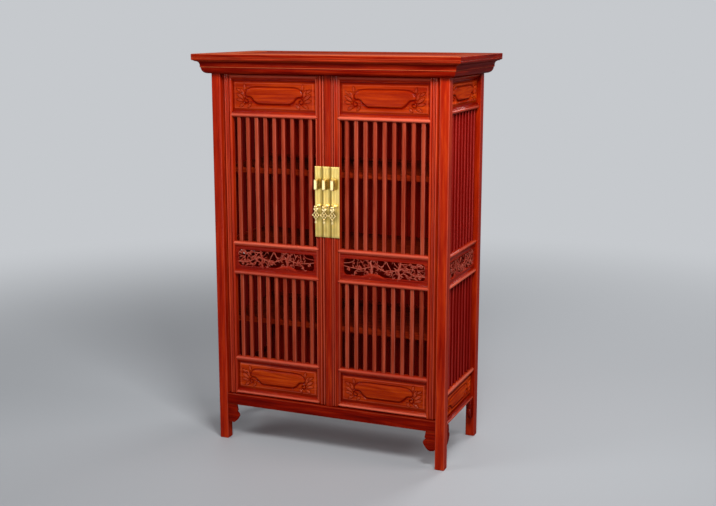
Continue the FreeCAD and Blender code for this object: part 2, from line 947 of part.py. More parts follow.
def pendant(x):
    """A pierced knot that hangs by two ears and a pin from the eye of its staple."""
    pin_y = door_face - staple_reach
    back = pin_y + pendant_thickness / 2
    ear_start = staple_eye_width / 2 + pendant_ear_gap
    ear_end = ear_start + pendant_ear_width
    crosswise = Vector(1, 0, 0)
    ears = []
    for side in (-1, 1):
        low = min(side * ear_start, side * ear_end) + x
        ear_foot = Vector(low, pin_y, staple_height)
        ear = Part.makeCylinder(pendant_ear_radius, pendant_ear_width, ear_foot, crosswise)
        tail_foot = staple_height - staple_eye_radius - pendant_ear_gap - pendant_thickness
        tail = box(low, low + pendant_ear_width, back - pendant_thickness, back, tail_foot, staple_height)
        ears += [ear, tail]
    pin_foot = Vector(x - ear_end, pin_y, staple_height)
    pin = Part.makeCylinder(pendant_pin_radius, 2 * ear_end, pin_foot, crosswise)

    def sheet(points):
        face = bulged_face(points, lambda u, z: Vector(x + u, back, z))
        return face.extrude(Vector(0, -pendant_thickness, 0))

    head_top = staple_height - staple_eye_radius - pendant_ear_gap
    half_head = pendant_head_width / 2
    head_foot = head_top - pendant_head_height
    reach = knot_pitch + knot_strip / 2
    side_u = reach * math.sqrt(2)
    side_v = side_u * knot_height_share
    knot_z = head_foot - side_v + knot_strip
    side_z = head_top - pendant_head_height * head_side_share
    rise = pendant_head_height * head_rise_share
    head = [
        (-half_head * head_foot_share, head_foot, 0),
        (half_head * head_foot_share, head_foot, rise),
        (half_head, side_z, rise),
        (half_head * head_top_share, head_top, 0),
        (-half_head * head_top_share, head_top, rise),
        (-half_head, side_z, rise),
    ]
    pieces = [sheet(head)]
    half_strip = knot_strip / 2
    strip_corners = [(-reach, -half_strip), (reach, -half_strip), (reach, half_strip), (-reach, half_strip)]
    for turn in (1, -1):
        for step in (-1, 0, 1):
            offset = step * knot_pitch
            strip = []
            for along, across in strip_corners:
                u = (along - turn * (across + offset)) / math.sqrt(2)
                v = (turn * along + across + offset) / math.sqrt(2)
                strip.append((u, knot_z + v * knot_height_share, 0))
            pieces.append(sheet(strip))
    outward = Vector(0, -1, 0)
    for side in (-1, 1):
        middle = Vector(x + side * (side_u - knot_loop_radius / 2), back, knot_z)
        pieces.append(Part.makeCylinder(knot_loop_radius, pendant_thickness, middle, outward))
    drop_top = knot_z - side_v + knot_strip
    drop_foot = drop_top - pendant_drop_length + pendant_drop_radius
    stem = box(x - half_strip, x + half_strip, back - pendant_thickness, back, drop_foot, drop_top)
    bead = Part.makeCylinder(pendant_drop_radius, pendant_thickness, Vector(x, back, drop_foot), outward)
    return pin.multiFuse(ears + pieces + [stem, bead]).removeSplitter()


def brass_set(x):
    """A face plate with the lug and the staple that pass through it, and the pendant."""
    lug = lock_lug(x)
    hanger = staple(x)
    plate = face_plate(x).cut(Part.makeCompound([lug, hanger]))
    return {"face_plate": plate, "lock_lug": lug, "pendant_staple": hanger, "pendant": pendant(x)}


def export(name, solids):
    """Writes one named piece, or one group of like pieces, to its own file."""
    shape = solids[0] if len(solids) == 1 else Part.makeCompound(solids)
    shape.exportStep("parts/" + name + ".step")
    print(name, len(shape.Solids), shape.isValid(), round(shape.Volume))


os.makedirs("parts", exist_ok=True)

# Doors
door_filling = bay(opening_inner, opening_outer, door_rails)
door_filling = {name: on_right_door(solids) for name, solids in door_filling.items()}
door_brass = brass_set(plate_pitch)
door_held = held_by_uprights(door_filling) + [door_brass["lock_lug"], door_brass["pendant_staple"]]
door_pieces = {
    "door_outer_stile": [outer_stile().cut(Part.makeCompound(door_held))],
    "door_inner_stile": [inner_stile().cut(Part.makeCompound(door_held))],
}
for name, solids in door_filling.items():
    door_pieces["door_" + name] = solids
for name, solid in door_brass.items():
    door_pieces[name] = [solid]
for name, solids in door_pieces.items():
    export("right_" + name, solids)
    export("left_" + name, mirrored(solids))

# Centre post with its brass
centre_brass = brass_set(0)
centre_held = Part.makeCompound([centre_brass["lock_lug"], centre_brass["pendant_staple"]])
export("centre_post", [centre_post().cut(centre_held)])
for name, solid in centre_brass.items():
    export("centre_" + name, [solid])

# Sides
side_filling = bay(-post_inner_y, post_inner_y, side_rails)
side_filling = {name: on_right_side(solids) for name, solids in side_filling.items()}
for name, solids in side_filling.items():
    export("right_side_" + name, solids)
    export("left_side_" + name, mirrored(solids))

# Sill, back and posts
mortise, pocket = centre_post_pockets()
sockets = Part.makeCompound([pivot_sockets(pivot_x), pivot_sockets(-pivot_x)])
sill = case_rail(sill_front, sill_back, sill_bottom, sill_top, sill_front + case_tenon_setback)
back_rails, back_panels = back_frame()
right_held = held_by_uprights(side_filling)
case_held = [sill] + back_rails + back_panels + right_held + mirrored(right_held)
posts = {
    "front_left_post": post(-1, -1, case_held),
    "front_right_post": post(1, -1, case_held),
    "back_left_post": post(-1, 1, case_held),
    "back_right_post": post(1, 1, case_held),
}
for name, solid in posts.items():
    export(name, [solid])
export("front_sill_rail", [sill.cut(Part.makeCompound([sockets, mortise]))])
export("back_rails", back_rails)
export("back_panels", back_panels)
export("leg_brackets", leg_brackets())

# Shelves and floor
shelf_tops = {
    "upper_shelf": upper_shelf_top,
    "middle_shelf": middle_shelf_top,
    "lower_shelf": lower_shelf_top,
}
for name, top in shelf_tops.items():
    export(name, [shelf(top, shelf_thickness, posts.values())])
export("case_floor", [shelf(floor_top, floor_rise, posts.values())])
battens = bearers(sill_top, sill_back)
for top in shelf_tops.values():
    battens += bearers(top - shelf_thickness, -post_inner_y)
export("shelf_bearers", battens)

# Cornice frame and top
lid = top_panel()
lid_battens = top_battens()
cut_from_cornice = Part.makeCompound([lid, sockets, pocket] + lid_battens + list(posts.values()))
export("front_cornice", [cornice_member(True, -1).cut(cut_from_cornice)])
export("back_cornice", [cornice_member(True, 1).cut(cut_from_cornice)])
export("left_cornice", [cornice_member(False, 1).cut(cut_from_cornice)])
export("right_cornice", [cornice_member(False, -1).cut(cut_from_cornice)])
export("top_panel", [lid])
export("top_battens", lid_battens)
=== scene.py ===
import math

import bmesh
import bpy
import numpy as np
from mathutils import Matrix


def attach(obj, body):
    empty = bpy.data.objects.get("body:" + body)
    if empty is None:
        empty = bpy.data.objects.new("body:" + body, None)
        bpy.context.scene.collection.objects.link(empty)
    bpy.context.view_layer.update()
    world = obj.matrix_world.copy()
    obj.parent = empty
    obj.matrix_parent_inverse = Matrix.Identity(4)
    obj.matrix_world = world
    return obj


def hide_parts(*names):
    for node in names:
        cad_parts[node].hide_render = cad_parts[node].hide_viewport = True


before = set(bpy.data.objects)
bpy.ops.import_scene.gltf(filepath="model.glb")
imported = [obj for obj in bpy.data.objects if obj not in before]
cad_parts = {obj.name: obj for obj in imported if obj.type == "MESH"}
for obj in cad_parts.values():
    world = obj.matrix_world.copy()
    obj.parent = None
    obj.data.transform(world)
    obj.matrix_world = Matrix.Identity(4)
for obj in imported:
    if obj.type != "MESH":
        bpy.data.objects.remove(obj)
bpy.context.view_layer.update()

# Camera: at standing height, to the right of the cabinet's middle and turned a little down, where the
# photograph was taken from, with a 57 mm lens on a frame 36 mm wide.
lens = bpy.data.cameras.new("camera")
lens.lens = 56.71
lens.sensor_width = 36
lens.sensor_fit = "HORIZONTAL"
camera = bpy.data.objects.new("camera", lens)
camera.location = (1.8105, -4.3284, 1.7713)
camera.rotation_euler = (math.radians(78.48), 0, math.radians(22.22))
bpy.context.scene.collection.objects.link(camera)
bpy.context.scene.camera = camera
bpy.context.scene.view_settings.view_transform = "Standard"


# Studio: a floor of painted board that runs out into a backdrop of the same pale grey, as a paper sweep does.
# The room round it is dim, and only what the eye sees, directly or in gloss, has the backdrop's full colour.
def linear(hex_colour):
    """A written sRGB colour as the linear one that shaders use."""
    channels = [int(hex_colour[at:at + 2], 16) / 255 for at in (1, 3, 5)]
    return [c / 12.92 if c <= 0.04045 else ((c + 0.055) / 1.055) ** 2.4 for c in channels] + [1.0]


def add_node(tree, kind, settings=(), links=()):
    """Adds one shader node: settings are (socket or attribute, value), links are (socket, source). A source
    is a socket, or a node that stands for its first output."""
    node = tree.nodes.new(kind)
    for key, value in settings:
        if isinstance(key, int) or key in node.inputs:
            node.inputs[key].default_value = value
        else:
            setattr(node, key, value)
    for key, source in links:
        tree.links.new(source.outputs[0] if isinstance(source, bpy.types.Node) else source, node.inputs[key])
    return node


def new_finish(name):
    """An empty material and its node tree."""
    finish = bpy.data.materials.new(name)
    finish.use_nodes = True
    finish.node_tree.nodes.clear()
    return finish, finish.node_tree


def seen_rays(tree):
    """One where a ray brings what it meets to the eye: from the camera, or by way of gloss or glass."""
    rays = add_node(tree, "ShaderNodeLightPath")
    seen = rays.outputs["Is Camera Ray"]
    for kind in ("Is Glossy Ray", "Is Transmission Ray"):
        seen = add_node(tree, "ShaderNodeMath", [("operation", "MAXIMUM")],
                        [(0, seen), (1, rays.outputs[kind])])
    return seen


floor_half_size = 30.0
sweep_start, sweep_end = 1.6, 5.0
backdrop_colour = linear("#C6C9CD")
floor_colour = linear("#BABDC1")
floor_mesh = bpy.data.meshes.new("floor")
floor_mesh.from_pydata([(x * floor_half_size, y * floor_half_size, 0)
                        for x, y in ((-1, -1), (1, -1), (1, 1), (-1, 1))], [], [(0, 1, 2, 3)])
floor = bpy.data.objects.new("floor", floor_mesh)
bpy.context.scene.collection.objects.link(floor)
# Board rolled with matt paint: it takes a soft shadow and gives no mirror image
floor_paint, tree = new_finish("matt_painted_floor")
paint = add_node(tree, "ShaderNodeBsdfPrincipled", [("Base Color", floor_colour), ("Roughness", 0.6)])
far_paint = add_node(tree, "ShaderNodeEmission", [("Color", backdrop_colour)])
place = add_node(tree, "ShaderNodeTexCoord").outputs["Object"]
distance = add_node(tree, "ShaderNodeVectorMath", [("operation", "LENGTH")], [(0, place)]).outputs["Value"]
far = add_node(tree, "ShaderNodeMapRange",
               [("interpolation_type", "SMOOTHSTEP"), ("From Min", sweep_start), ("From Max", sweep_end)],
               [("Value", distance)])
far = add_node(tree, "ShaderNodeMath", [("operation", "MULTIPLY")], [(0, far), (1, seen_rays(tree))])
paint = add_node(tree, "ShaderNodeMixShader", links=[(0, far), (1, paint), (2, far_paint)])
add_node(tree, "ShaderNodeOutputMaterial", links=[("Surface", paint)])
floor_mesh.materials.append(floor_paint)

room_strength = 0.22
surround = bpy.data.worlds.new("studio")
surround.use_nodes = True
tree = surround.node_tree
tree.nodes.clear()
room = add_node(tree, "ShaderNodeBackground", [("Color", backdrop_colour), ("Strength", room_strength)])
backdrop = add_node(tree, "ShaderNodeBackground", [("Color", backdrop_colour), ("Strength", 1.0)])
light = add_node(tree, "ShaderNodeMixShader", links=[(0, seen_rays(tree)), (1, room), (2, backdrop)])
add_node(tree, "ShaderNodeOutputWorld", links=[("Surface", light)])
bpy.context.scene.world = surround

# Lamps: soft boxes, each as (name, place, aimed at, side in metres, watts, spread in degrees). The key stands
# high, so that every rail and the cornice shade what lies under them, and a grid on it keeps it off the feet.
soft_boxes = [
    ("key_box", (1.3, -1.75, 2.85), (0.1, 0, 2.0), 0.9, 50, 130),
    ("fill_box", (-2.6, -2.5, 2.8), (0, 0, 1.4), 1.6, 34, 180),
    ("low_box", (-1.6, -3.9, 0.6), (0, -0.2, 1.0), 1.2, 7, 180),
    ("front_box", (0.8, -4.0, 2.2), (0, 0, 1.5), 1.0, 28, 180),
    ("side_box", (3.2, 0.3, 2.9), (0.5, 0, 1.2), 1.2, 26, 180),
    ("back_box", (1.4, 3.4, 3.2), (0, 0, 1.0), 1.6, 60, 180),
]
for name, place, aim, side, watts, spread in soft_boxes:
    lamp = bpy.data.lights.new(name, "AREA")
    lamp.size = side
    lamp.energy = watts
    lamp.spread = math.radians(spread)
    holder = bpy.data.objects.new(name, lamp)
    holder.location = place
    away = np.array(place) - np.array(aim)
    tilt = math.atan2(math.hypot(away[0], away[1]), away[2])
    holder.rotation_euler = (tilt, 0, math.atan2(away[1], away[0]) + math.pi / 2)
    bpy.context.scene.collection.objects.link(holder)


# Corner posts: square rosewood uprights that run down as feet, planed with rounded arrises, mortised for
# every rail and finished in clear gloss lacquer over a red stain.
def rosewood(name, grain, colours, figure, gloss=0.13, edge="#DC6A50", edge_wear_and_highlight=0.7):
    """Rosewood under a red stain and clear lacquer, sprayed and rubbed down. Noise drawn out along the grain
    makes the streaks; thin lines where a broad drawn-out field passes whole numbers make the growth lines;
    each board's own number shifts both and its tone; painted shade, with stain, stands dark in every quirk
    and cut, and painted highlight, with wear, makes every edge pale. The coat gives the small bright lights
    of lacquer."""
    finish, tree = new_finish(name)
    place = add_node(tree, "ShaderNodeTexCoord").outputs["Object"]
    board = add_node(tree, "ShaderNodeAttribute", [("attribute_name", "board")]).outputs["Fac"]
    hollow = add_node(tree, "ShaderNodeAttribute", [("attribute_name", "hollow")]).outputs["Fac"]
    stretch = [1.0, 1.0, 1.0]
    stretch[grain] = 0.06
    drawn = add_node(tree, "ShaderNodeMapping", [("Scale", stretch)], [("Vector", place)])
    shift = add_node(tree, "ShaderNodeMath", [("operation", "MULTIPLY"), (1, 37.0)], [(0, board)])
    # Growth lines 5 to 12 mm apart, bent over some 100 mm of width
    field = add_node(tree, "ShaderNodeTexNoise",
                     [("noise_dimensions", "4D"), ("Scale", 9.0), ("Detail", 2.0), ("Distortion", 0.3)],
                     [("Vector", drawn), ("W", shift)])
    lines = add_node(tree, "ShaderNodeMath", [("operation", "MULTIPLY"), (1, 130.0)], [(0, field)])
    lines = add_node(tree, "ShaderNodeMath", [("operation", "SINE")], [(0, lines)])
    lines = add_node(tree, "ShaderNodeMapRange", [("From Min", 0.2), ("From Max", 1.0), ("To Max", figure)],
                     [("Value", lines)])
    # Streaks from 12 mm down to 1 mm wide, and open vessels drawn 1 mm wide, coarser than the real 0.2 mm
    streaks = add_node(tree, "ShaderNodeTexNoise",
                       [("noise_dimensions", "4D"), ("Scale", 85.0), ("Detail", 5.0), ("Roughness", 0.62)],
                       [("Vector", drawn), ("W", shift)])
    vessels = add_node(tree, "ShaderNodeTexNoise",
                       [("noise_dimensions", "4D"), ("Scale", 800.0), ("Detail", 2.0)],
                       [("Vector", drawn), ("W", shift)])
    own_tone = add_node(tree, "ShaderNodeMath", [("operation", "MULTIPLY_ADD"), (1, 0.12), (2, -0.06)],
                        [(0, board)])
    tone = add_node(tree, "ShaderNodeMath", [("operation", "ADD")], [(0, streaks), (1, own_tone)])
    ramp = add_node(tree, "ShaderNodeValToRGB", links=[("Fac", tone)])
    stops = ramp.color_ramp.elements
    stops[0].position, stops[0].color = 0.28, linear(colours[0])
    stops[1].position, stops[1].color = 0.72, linear(colours[2])
    stops.new(0.5).color = linear(colours[1])
    colour = add_node(tree, "ShaderNodeMix", [("data_type", "RGBA"), (7, linear(colours[0]))],
                      [(0, lines), (6, ramp)]).outputs[2]
    vessels = add_node(tree, "ShaderNodeMapRange", [("From Min", 0.62), ("From Max", 0.74), ("To Max", 0.6)],
                       [("Value", vessels)])
    pores_and_painted_shade = add_node(tree, "ShaderNodeMath", [("operation", "MAXIMUM")], [(0, vessels), (1, hollow)])
    # Every board gets its own share of pale edges: painted highlight, with wear
    wear_and_highlight_share = add_node(tree, "ShaderNodeMath", [("operation", "MULTIPLY_ADD"), (1, -0.75), (2, -0.25)],
                       [(0, board)])
    wear_and_highlight_mix = add_node(tree, "ShaderNodeMath", [("operation", "MULTIPLY")], [(0, hollow), (1, wear_and_highlight_share)])
    wear_and_highlight_mix = add_node(tree, "ShaderNodeMapRange", [("To Max", edge_wear_and_highlight)], [("Value", wear_and_highlight_mix)])
    # Pale edges: painted highlight, with wear
    colour = add_node(tree, "ShaderNodeMix", [("data_type", "RGBA"), (7, linear(edge))],
                      [(0, wear_and_highlight_mix), (6, colour)]).outputs[2]
    # Dark quirks, cuts and margins: painted shade, with stain; and the open pores
    colour = add_node(tree, "ShaderNodeMix", [("data_type", "RGBA"), (7, linear(stain_and_shade_colour))],
                      [(0, pores_and_painted_shade), (6, colour)]).outputs[2]
    relief = add_node(tree, "ShaderNodeBump", [("Strength", 0.2), ("Distance", 0.0003)],
                      [("Height", streaks)])
    wood = add_node(tree, "ShaderNodeBsdfPrincipled",
                    [("Roughness", 0.38), ("Specular IOR Level", 0.0), ("Coat Weight", gloss),
                     ("Coat Roughness", 0.1)],
                    [("Base Color", colour), ("Normal", relief)])
    add_node(tree, "ShaderNodeOutputMaterial", links=[("Surface", wood)])
    return finish


# Rosewood planed straight, bright under its lacquer: quiet streaks in the posts, livelier ones in the rails
# The colour of the painted shade, with stain, in quirks, cuts and margins
stain_and_shade_colour = "#6A0300"
frame_colours = ("#7A0C01", "#9E2005", "#BA390D")
frame_wood = [rosewood("lacquered_rosewood_grain_" + axis, number, frame_colours, figure)
              for number, (axis, figure) in enumerate(zip("xyz", (0.5, 0.5, 0.2)))]
boards = np.random.default_rng(11)


def moulding(corners, ease=0.8, steps=8):
    """A closed section from corners (x, y, rise): the edge that leaves a corner bulges by its rise as a
    parabola, then each corner that turns sharply is eased by a small quadratic curve. A long flat gets a
    point near each end, so that what a corner wears stays at the corner."""
    corners = np.array(corners, float)
    starts = corners[:, :2]
    line = []
    near = 2.4 * ease + 2
    for start, end, rise in zip(starts, np.roll(starts, -1, axis=0), corners[:, 2]):
        run = end - start
        length = np.hypot(*run)
        share = np.linspace(0, 1, steps, endpoint=False)[:, None]
        if not rise:
            share = np.array([[0], [near / length], [1 - near / length]] if length > 2 * near + 1 else [[0]])
        outward = np.array([run[1], -run[0]]) / length
        line.append(start + share * run + 4 * rise * share * (1 - share) * outward)
    line = np.vstack(line)
    back = np.roll(line, 1, axis=0) - line
    ahead = np.roll(line, -1, axis=0) - line
    back_length = np.hypot(*back.T)[:, None]
    ahead_length = np.hypot(*ahead.T)[:, None]
    straight = -(back * ahead).sum(1) / (back_length * ahead_length)[:, 0]
    cut = np.minimum(ease, 0.45 * np.minimum(back_length, ahead_length))
    before, after = line + back / back_length * cut, line + ahead / ahead_length * cut
    share = np.linspace(0, 1, 5)[None, :, None]
    curve = ((1 - share) ** 2 * before[:, None] + 2 * share * (1 - share) * line[:, None]
             + share ** 2 * after[:, None])
    sharp = straight < math.cos(0.45)
    keep = np.zeros(curve.shape[:2], bool)
    keep[sharp] = True
    keep[~sharp, 2] = True
    curve[~sharp, 2] = line[~sharp]
    return curve[keep]


def squared(x0, y0, x1, y1, rise=0):
    """The corners of a rectangular section, its first edge bulged by a rise."""
    return [(x0, y0, rise), (x1, y0, 0), (x1, y1, 0), (x0, y1, 0)]


def hollow_of(section):
    """How hollow a section is at each point: its height inside the chord between the places 2.2 mm before and
    after it, positive in a quirk and negative on an edge, nothing where it is nearly straight."""
    reach, least_quirk, least_edge, full = 2.2, 0.08, 0.35, 0.6
    ring = np.vstack([section, section[:1]])
    place = np.concatenate([[0], np.cumsum(np.hypot(*np.diff(ring, axis=0).T))])
    start, end = (
        np.stack([np.interp(place[:-1] + step, place, ring[:, k], period=place[-1]) for k in (0, 1)], -1)
        for step in (-reach, reach))
    run, out = end - start, section - start
    inside = (run[:, 0] * out[:, 1] - run[:, 1] * out[:, 0]) / (np.hypot(*run.T) + 1e-9)
    quirk = np.clip((inside - least_quirk) / full, 0, 0.9)
    edge = np.clip((-inside - least_edge) / full, 0, 1)
    return np.where(inside > 0, quirk, -edge)


def shell_faces(stations, around):
    """Quads of a tube that closes on itself round its section, and a cap on each of its ends."""
    index = np.arange(stations * around).reshape(stations, around)
    beside = np.roll(index, -1, axis=1)
    walls = np.stack([index[:-1], index[1:], beside[1:], beside[:-1]], -1).reshape(-1, 4)
    return [walls, index[:1, ::-1], index[-1:]]


def carried(section, axis, stations):
    """A section carried straight along an axis: each station gives its place and its scale about the
    middle."""
    stations = np.array(stations, float)
    middle = (section.min(0) + section.max(0)) / 2
    flat = middle + (section - middle) * stations[:, 1, None, None]
    along = np.repeat(stations[:, 0, None], len(section), axis=1)
    grid = np.insert(flat, axis, along, axis=-1)
    return grid.reshape(-1, 3), shell_faces(*along.shape), np.tile(hollow_of(section), len(stations))


def mirrored(shells):
    """The same shells on the other side of the cabinet."""
    return [(points * (-1, 1, 1), faces, hollow) for points, faces, hollow in shells]


def add_piece(name, shells, finish, body, slot, *nodes):
    """One object from closed shells in millimetres, smooth but for its sharp edges, with a number for each
    board and how hollow each point is as its own attributes."""
    corners = np.vstack([points for points, _, _ in shells]) / 1000
    first, faces, board, hollow = 0, [], [], []
    for points, blocks, depth in shells:
        for block in blocks:
            faces += (block + first).tolist()
        first += len(points)
        board.append(np.full(len(points), boards.random()))
        hollow.append(np.broadcast_to(depth, len(points)))
    mesh = bpy.data.meshes.new(name)
    mesh.from_pydata(corners.tolist(), [], faces)
    loose = bmesh.new()
    loose.from_mesh(mesh)
    bmesh.ops.recalc_face_normals(loose, faces=loose.faces)
    loose.to_mesh(mesh)
    loose.free()
    for label, values in (("board", board), ("hollow", hollow)):
        mesh.attributes.new(label, "FLOAT", "POINT").data.foreach_set("value", np.concatenate(values))
    mesh.shade_smooth()
    mesh.set_sharp_from_angle(angle=math.radians(38))
    mesh.materials.append(finish)
    piece = bpy.data.objects.new(name, mesh)
    bpy.context.scene.collection.objects.link(piece)
    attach(piece, body)
    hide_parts(*nodes)


half_width, half_depth = 511.5, 233.5
post_side, post_arris, foot_chamfer = 40.0, 4.0, 2.0
body_top = 1570.0
post_inner_x, post_inner_y = half_width - post_side, half_depth - post_side
post_section = moulding(squared(post_inner_x, post_inner_y, half_width, half_depth), post_arris)
post_stations = [(0, 1 - 2 * foot_chamfer / post_side), (foot_chamfer, 1), (body_top, 1)]
for name, side_x, side_y in (("front_left_post", -1, -1), ("front_right_post", 1, -1),
                             ("back_left_post", -1, 1), ("back_right_post", 1, 1)):
    points, faces, hollow = carried(post_section, 2, post_stations)
    shell = (points * (side_x, side_y, 1), faces, hollow)
    add_piece("polished_" + name, [shell], frame_wood[2], "case", "lacquered_frame", name)


# Front sill rail: a plain deep rail of a darker board of the same rosewood, its arrises rounded, tenoned
# between the front posts under the doors.
sill_front, sill_back, sill_foot, sill_head, sill_arris = -232.5, -180.5, 158.0, 205.0, 3.0
sill_section = moulding(squared(sill_front, sill_foot, sill_back, sill_head), sill_arris)
sill = carried(sill_section, 0, [(-post_inner_x, 1), (post_inner_x, 1)])
# A darker copy of the rosewood, planed and lacquered thinly: deeper and less glossy than the frame
dark_colours = ("#520300", "#780E01", "#962206")
dark_wood = [rosewood("lacquered_dark_rosewood_grain_" + axis, number, dark_colours, 0.5, 0.06,
                      "#DC6A3C", 0.55) for number, axis in enumerate("xy")]
add_piece("polished_sill_rail", [sill], dark_wood[0], "case", "lacquered_frame", "front_sill_rail")


# Cornice: four moulded members of the darker rosewood, run with a plane and mitred at the corners, that
# overhang the case on every side: an ovolo, a fillet, a cavetto and a broad lip, painted palest on its flat
# top as painted highlight.
cornice_inset, cornice_height = 46.0, 80.0
# Corners as (out from the case, level over the case, rise of the edge that follows)
cornice_corners = [
    (-cornice_inset, 0, 0), (5, 0, 7.0), (30.5, 21.5, 0), (30.5, 24.5, 0), (33.5, 25.5, 0), (33.5, 35, -5.0),
    (50, 50.5, 0), (51.5, 53, 0), (53, 53.5, 1.8), (59, 59, 0), (59, 62, 0), (57.4, 63.5, 0), (59, 65, 0),
    (59, 77, 1.0), (56, cornice_height, 0), (-cornice_inset, cornice_height, 0),
]
cornice_section = moulding(np.array(cornice_corners) + (0, body_top, 0), 0.8, 10)


def mitred_member(section, face, reach):
    """The cornice section carried along X in front of a face, each end cut off at 45 degrees."""
    out, level = section.T
    ends = np.stack([-(reach + out), reach + out])
    grid = np.stack([ends, np.broadcast_to(-face - out, ends.shape), np.broadcast_to(level, ends.shape)], -1)
    # The flat top gets the strongest pale edge: painted highlight
    hollow = np.where(level > body_top + cornice_height - 0.1, -1.5, hollow_of(section))
    return grid.reshape(-1, 3), shell_faces(2, len(section)), np.tile(hollow, 2)


def turned(shells, quarters):
    """Shells turned about the cabinet's upright axis by quarter turns."""
    cosine, sine = [(1, 0), (0, 1), (-1, 0), (0, -1)][quarters]
    matrix = np.array([[cosine, sine, 0], [-sine, cosine, 0], [0, 0, 1]], float)
    return [(points @ matrix, faces, hollow) for points, faces, hollow in shells]


for name, quarters in (("front_cornice", 0), ("right_cornice", 1), ("back_cornice", 2), ("left_cornice", 3)):
    face, reach = (half_width, half_depth) if quarters % 2 else (half_depth, half_width)
    shells = turned([mitred_member(cornice_section, face, reach)], quarters)
    add_piece("moulded_" + name, shells, dark_wood[quarters % 2], "case", "lacquered_frame", name)


# Boards that the CAD already shapes: the floating top panel, the back and its rails, the shelves, the floor
# and their battens are flat rosewood boards, planed, that stand in grooves or lie on battens.
panel_colours = [("#7C1402", "#9E2C05", "#BA420B"), ("#981C02", "#C03C05", "#DC5209")]
shelf_colours = ("#641204", "#84220A", "#9C3412")
inner_colours = ("#9A0E04", "#C41E0A", "#D8300E")
# Rosewood boards planed and lacquered: the panels' lively figure shows through their gloss, and those of the
# sides get a brighter copy of the colours, painted light. Shelves and inner boards have a satin coat without
# gloss, so that the inside stays dull and reads as depth behind the bars; the shelves' colours are darker and
# the inner boards' brighter than the frame's, painted shade and painted light for the inside of the case
panel_wood = [rosewood("lacquered_panel_grain_" + axis, number, panel_colours[number], 0.5, gloss)
              for number, (axis, gloss) in enumerate((("x", 0.1), ("y", 0.04)))]
shelf_wood = rosewood("satin_shelf_grain_x", 0, shelf_colours, 0.4, 0.0)
batten_wood, back_wood = (rosewood("satin_inner_board_grain_" + axis, number, inner_colours, 0.4, 0.0)
                          for axis, number in (("y", 1), ("z", 2)))
for finish, names in ((panel_wood[0], ["top_panel"]), (frame_wood[0], ["back_rails"]),
                      (back_wood, ["back_panels"]), (batten_wood, ["top_battens", "shelf_bearers"]),
                      (shelf_wood, ["upper_shelf", "middle_shelf", "lower_shelf", "case_floor"])):
    for name in names:
        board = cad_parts[name].data
        board.materials.clear()
        board.materials.append(finish)


# Scalloped brackets: thin boards of the darker rosewood, sawn to a cusped outline, their edges rounded over,
# and let into the posts under the front sill and the lowest side rails.
bracket_corners = [
    (0, 0, 0), (0, -77, 0), (-16.3, -82, 1.6), (-31.6, -79.5, 2.5), (-48.5, -59, 1.6), (-51, -42.6, 2.5),
    (-40.8, -30.3, 0), (-44.4, -21.3, 3.3), (-40.8, 0, 0),
]
bracket_thickness, bracket_ease = 12.0, 0.9
bracket_front = -229.5
side_face, side_foot = 504.5, 172.0


def sawn_board(outline, low, high):
    """An outline in the plane of X and Z as a board from one depth to another, its two faces' edges eased."""
    stations = [(low, 0.97), (low + bracket_ease, 1), (high - bracket_ease, 1), (high, 0.97)]
    points, faces, _ = carried(outline, 1, stations)
    return points, faces, 0.0


bracket_outline = moulding(bracket_corners[::-1], 1.0, 6)
right_brackets = [sawn_board(bracket_outline + (post_inner_x, sill_foot), bracket_front,
                             bracket_front + bracket_thickness)]
for facing in (1, -1):
    outline = bracket_outline * (facing, 1) + (facing * post_inner_y, side_foot)
    points, faces, hollow = sawn_board(outline, 0, bracket_thickness)
    points = np.stack([side_face - points[:, 1], points[:, 0], points[:, 2]], -1)
    right_brackets.append((points, faces, hollow))
add_piece("scalloped_brackets", right_brackets + mirrored(right_brackets), dark_wood[0], "case",
          "lacquered_frame", "leg_brackets")


# Door stiles: rosewood uprights of the two leaves, planed in the length. The hinge stile has a bead along the
# opening, a flute, a reed and a cove to the pivot side; the lock stile a reed, a quirked bead and a slope.
door_face, door_thickness = -222.5, 26.0
door_bottom, door_top, end_chamfer = 208.0, 1568.0, 1.0
opening_inner, opening_outer, door_outer, door_inner = 52.0, 428.0, 470.0, 18.0
# Corners as (from the middle of the cabinet, behind the door's face, rise of the edge that follows)
hinge_corners = [
    (opening_outer, 3.4, 3.2), (438, 3.4, 0), (438.6, 5.4, 0), (441, 5.4, 0), (441.6, 1.8, -0.9),
    (449, 1.8, 0), (449.6, 4.6, 0), (451.6, 4.6, 0), (452, 2.6, 2.4), (459, 2.6, 0), (459.6, 4.4, -1.6),
    (door_outer, 9.5, 0), (door_outer, door_thickness, 0), (opening_outer, door_thickness, 0),
]
lock_corners = [
    (door_inner, 6, 1.6), (23, 6, 0), (23.5, 8.4, 0), (26.5, 8.4, 0), (27, 3.4, 3.3), (34.5, 3.4, -0.6),
    (44, 6.4, 0), (44.6, 8, 0), (46.4, 8, 0), (46.8, 6.6, 2.0), (opening_inner, 6.6, 0),
    (opening_inner, door_thickness, 0), (door_inner, door_thickness, 0),
]
# Planed rosewood, with less painted highlight and wear on its edges than the rails, so that the reeds show as
# thin pale lines; the boards in the middle are stained a tone deeper
lock_colours = ("#6E0A01", "#8E1B04", "#A8320B")
stile_wood = {"outer": rosewood("lacquered_rosewood_stile", 2, frame_colours, 0.2, edge_wear_and_highlight=0.45),
              "inner": rosewood("lacquered_deep_rosewood_stile", 2, lock_colours, 0.2, edge_wear_and_highlight=0.45)}
for kind, corners in (("outer", hinge_corners), ("inner", lock_corners)):
    section = moulding(np.array(corners) + (0, door_face, 0), 0.5, 10)
    shells = [carried(section, 2, [(door_bottom, 0.98), (door_bottom + end_chamfer, 1),
                                   (door_top - end_chamfer, 1), (door_top, 0.98)])]
    for side, group in (("right", shells), ("left", mirrored(shells))):
        add_piece(f"reeded_{side}_{kind}_stile", group, stile_wood[kind], side + "_door", "lacquered_frame",
                  f"{side}_door_{kind}_stile")


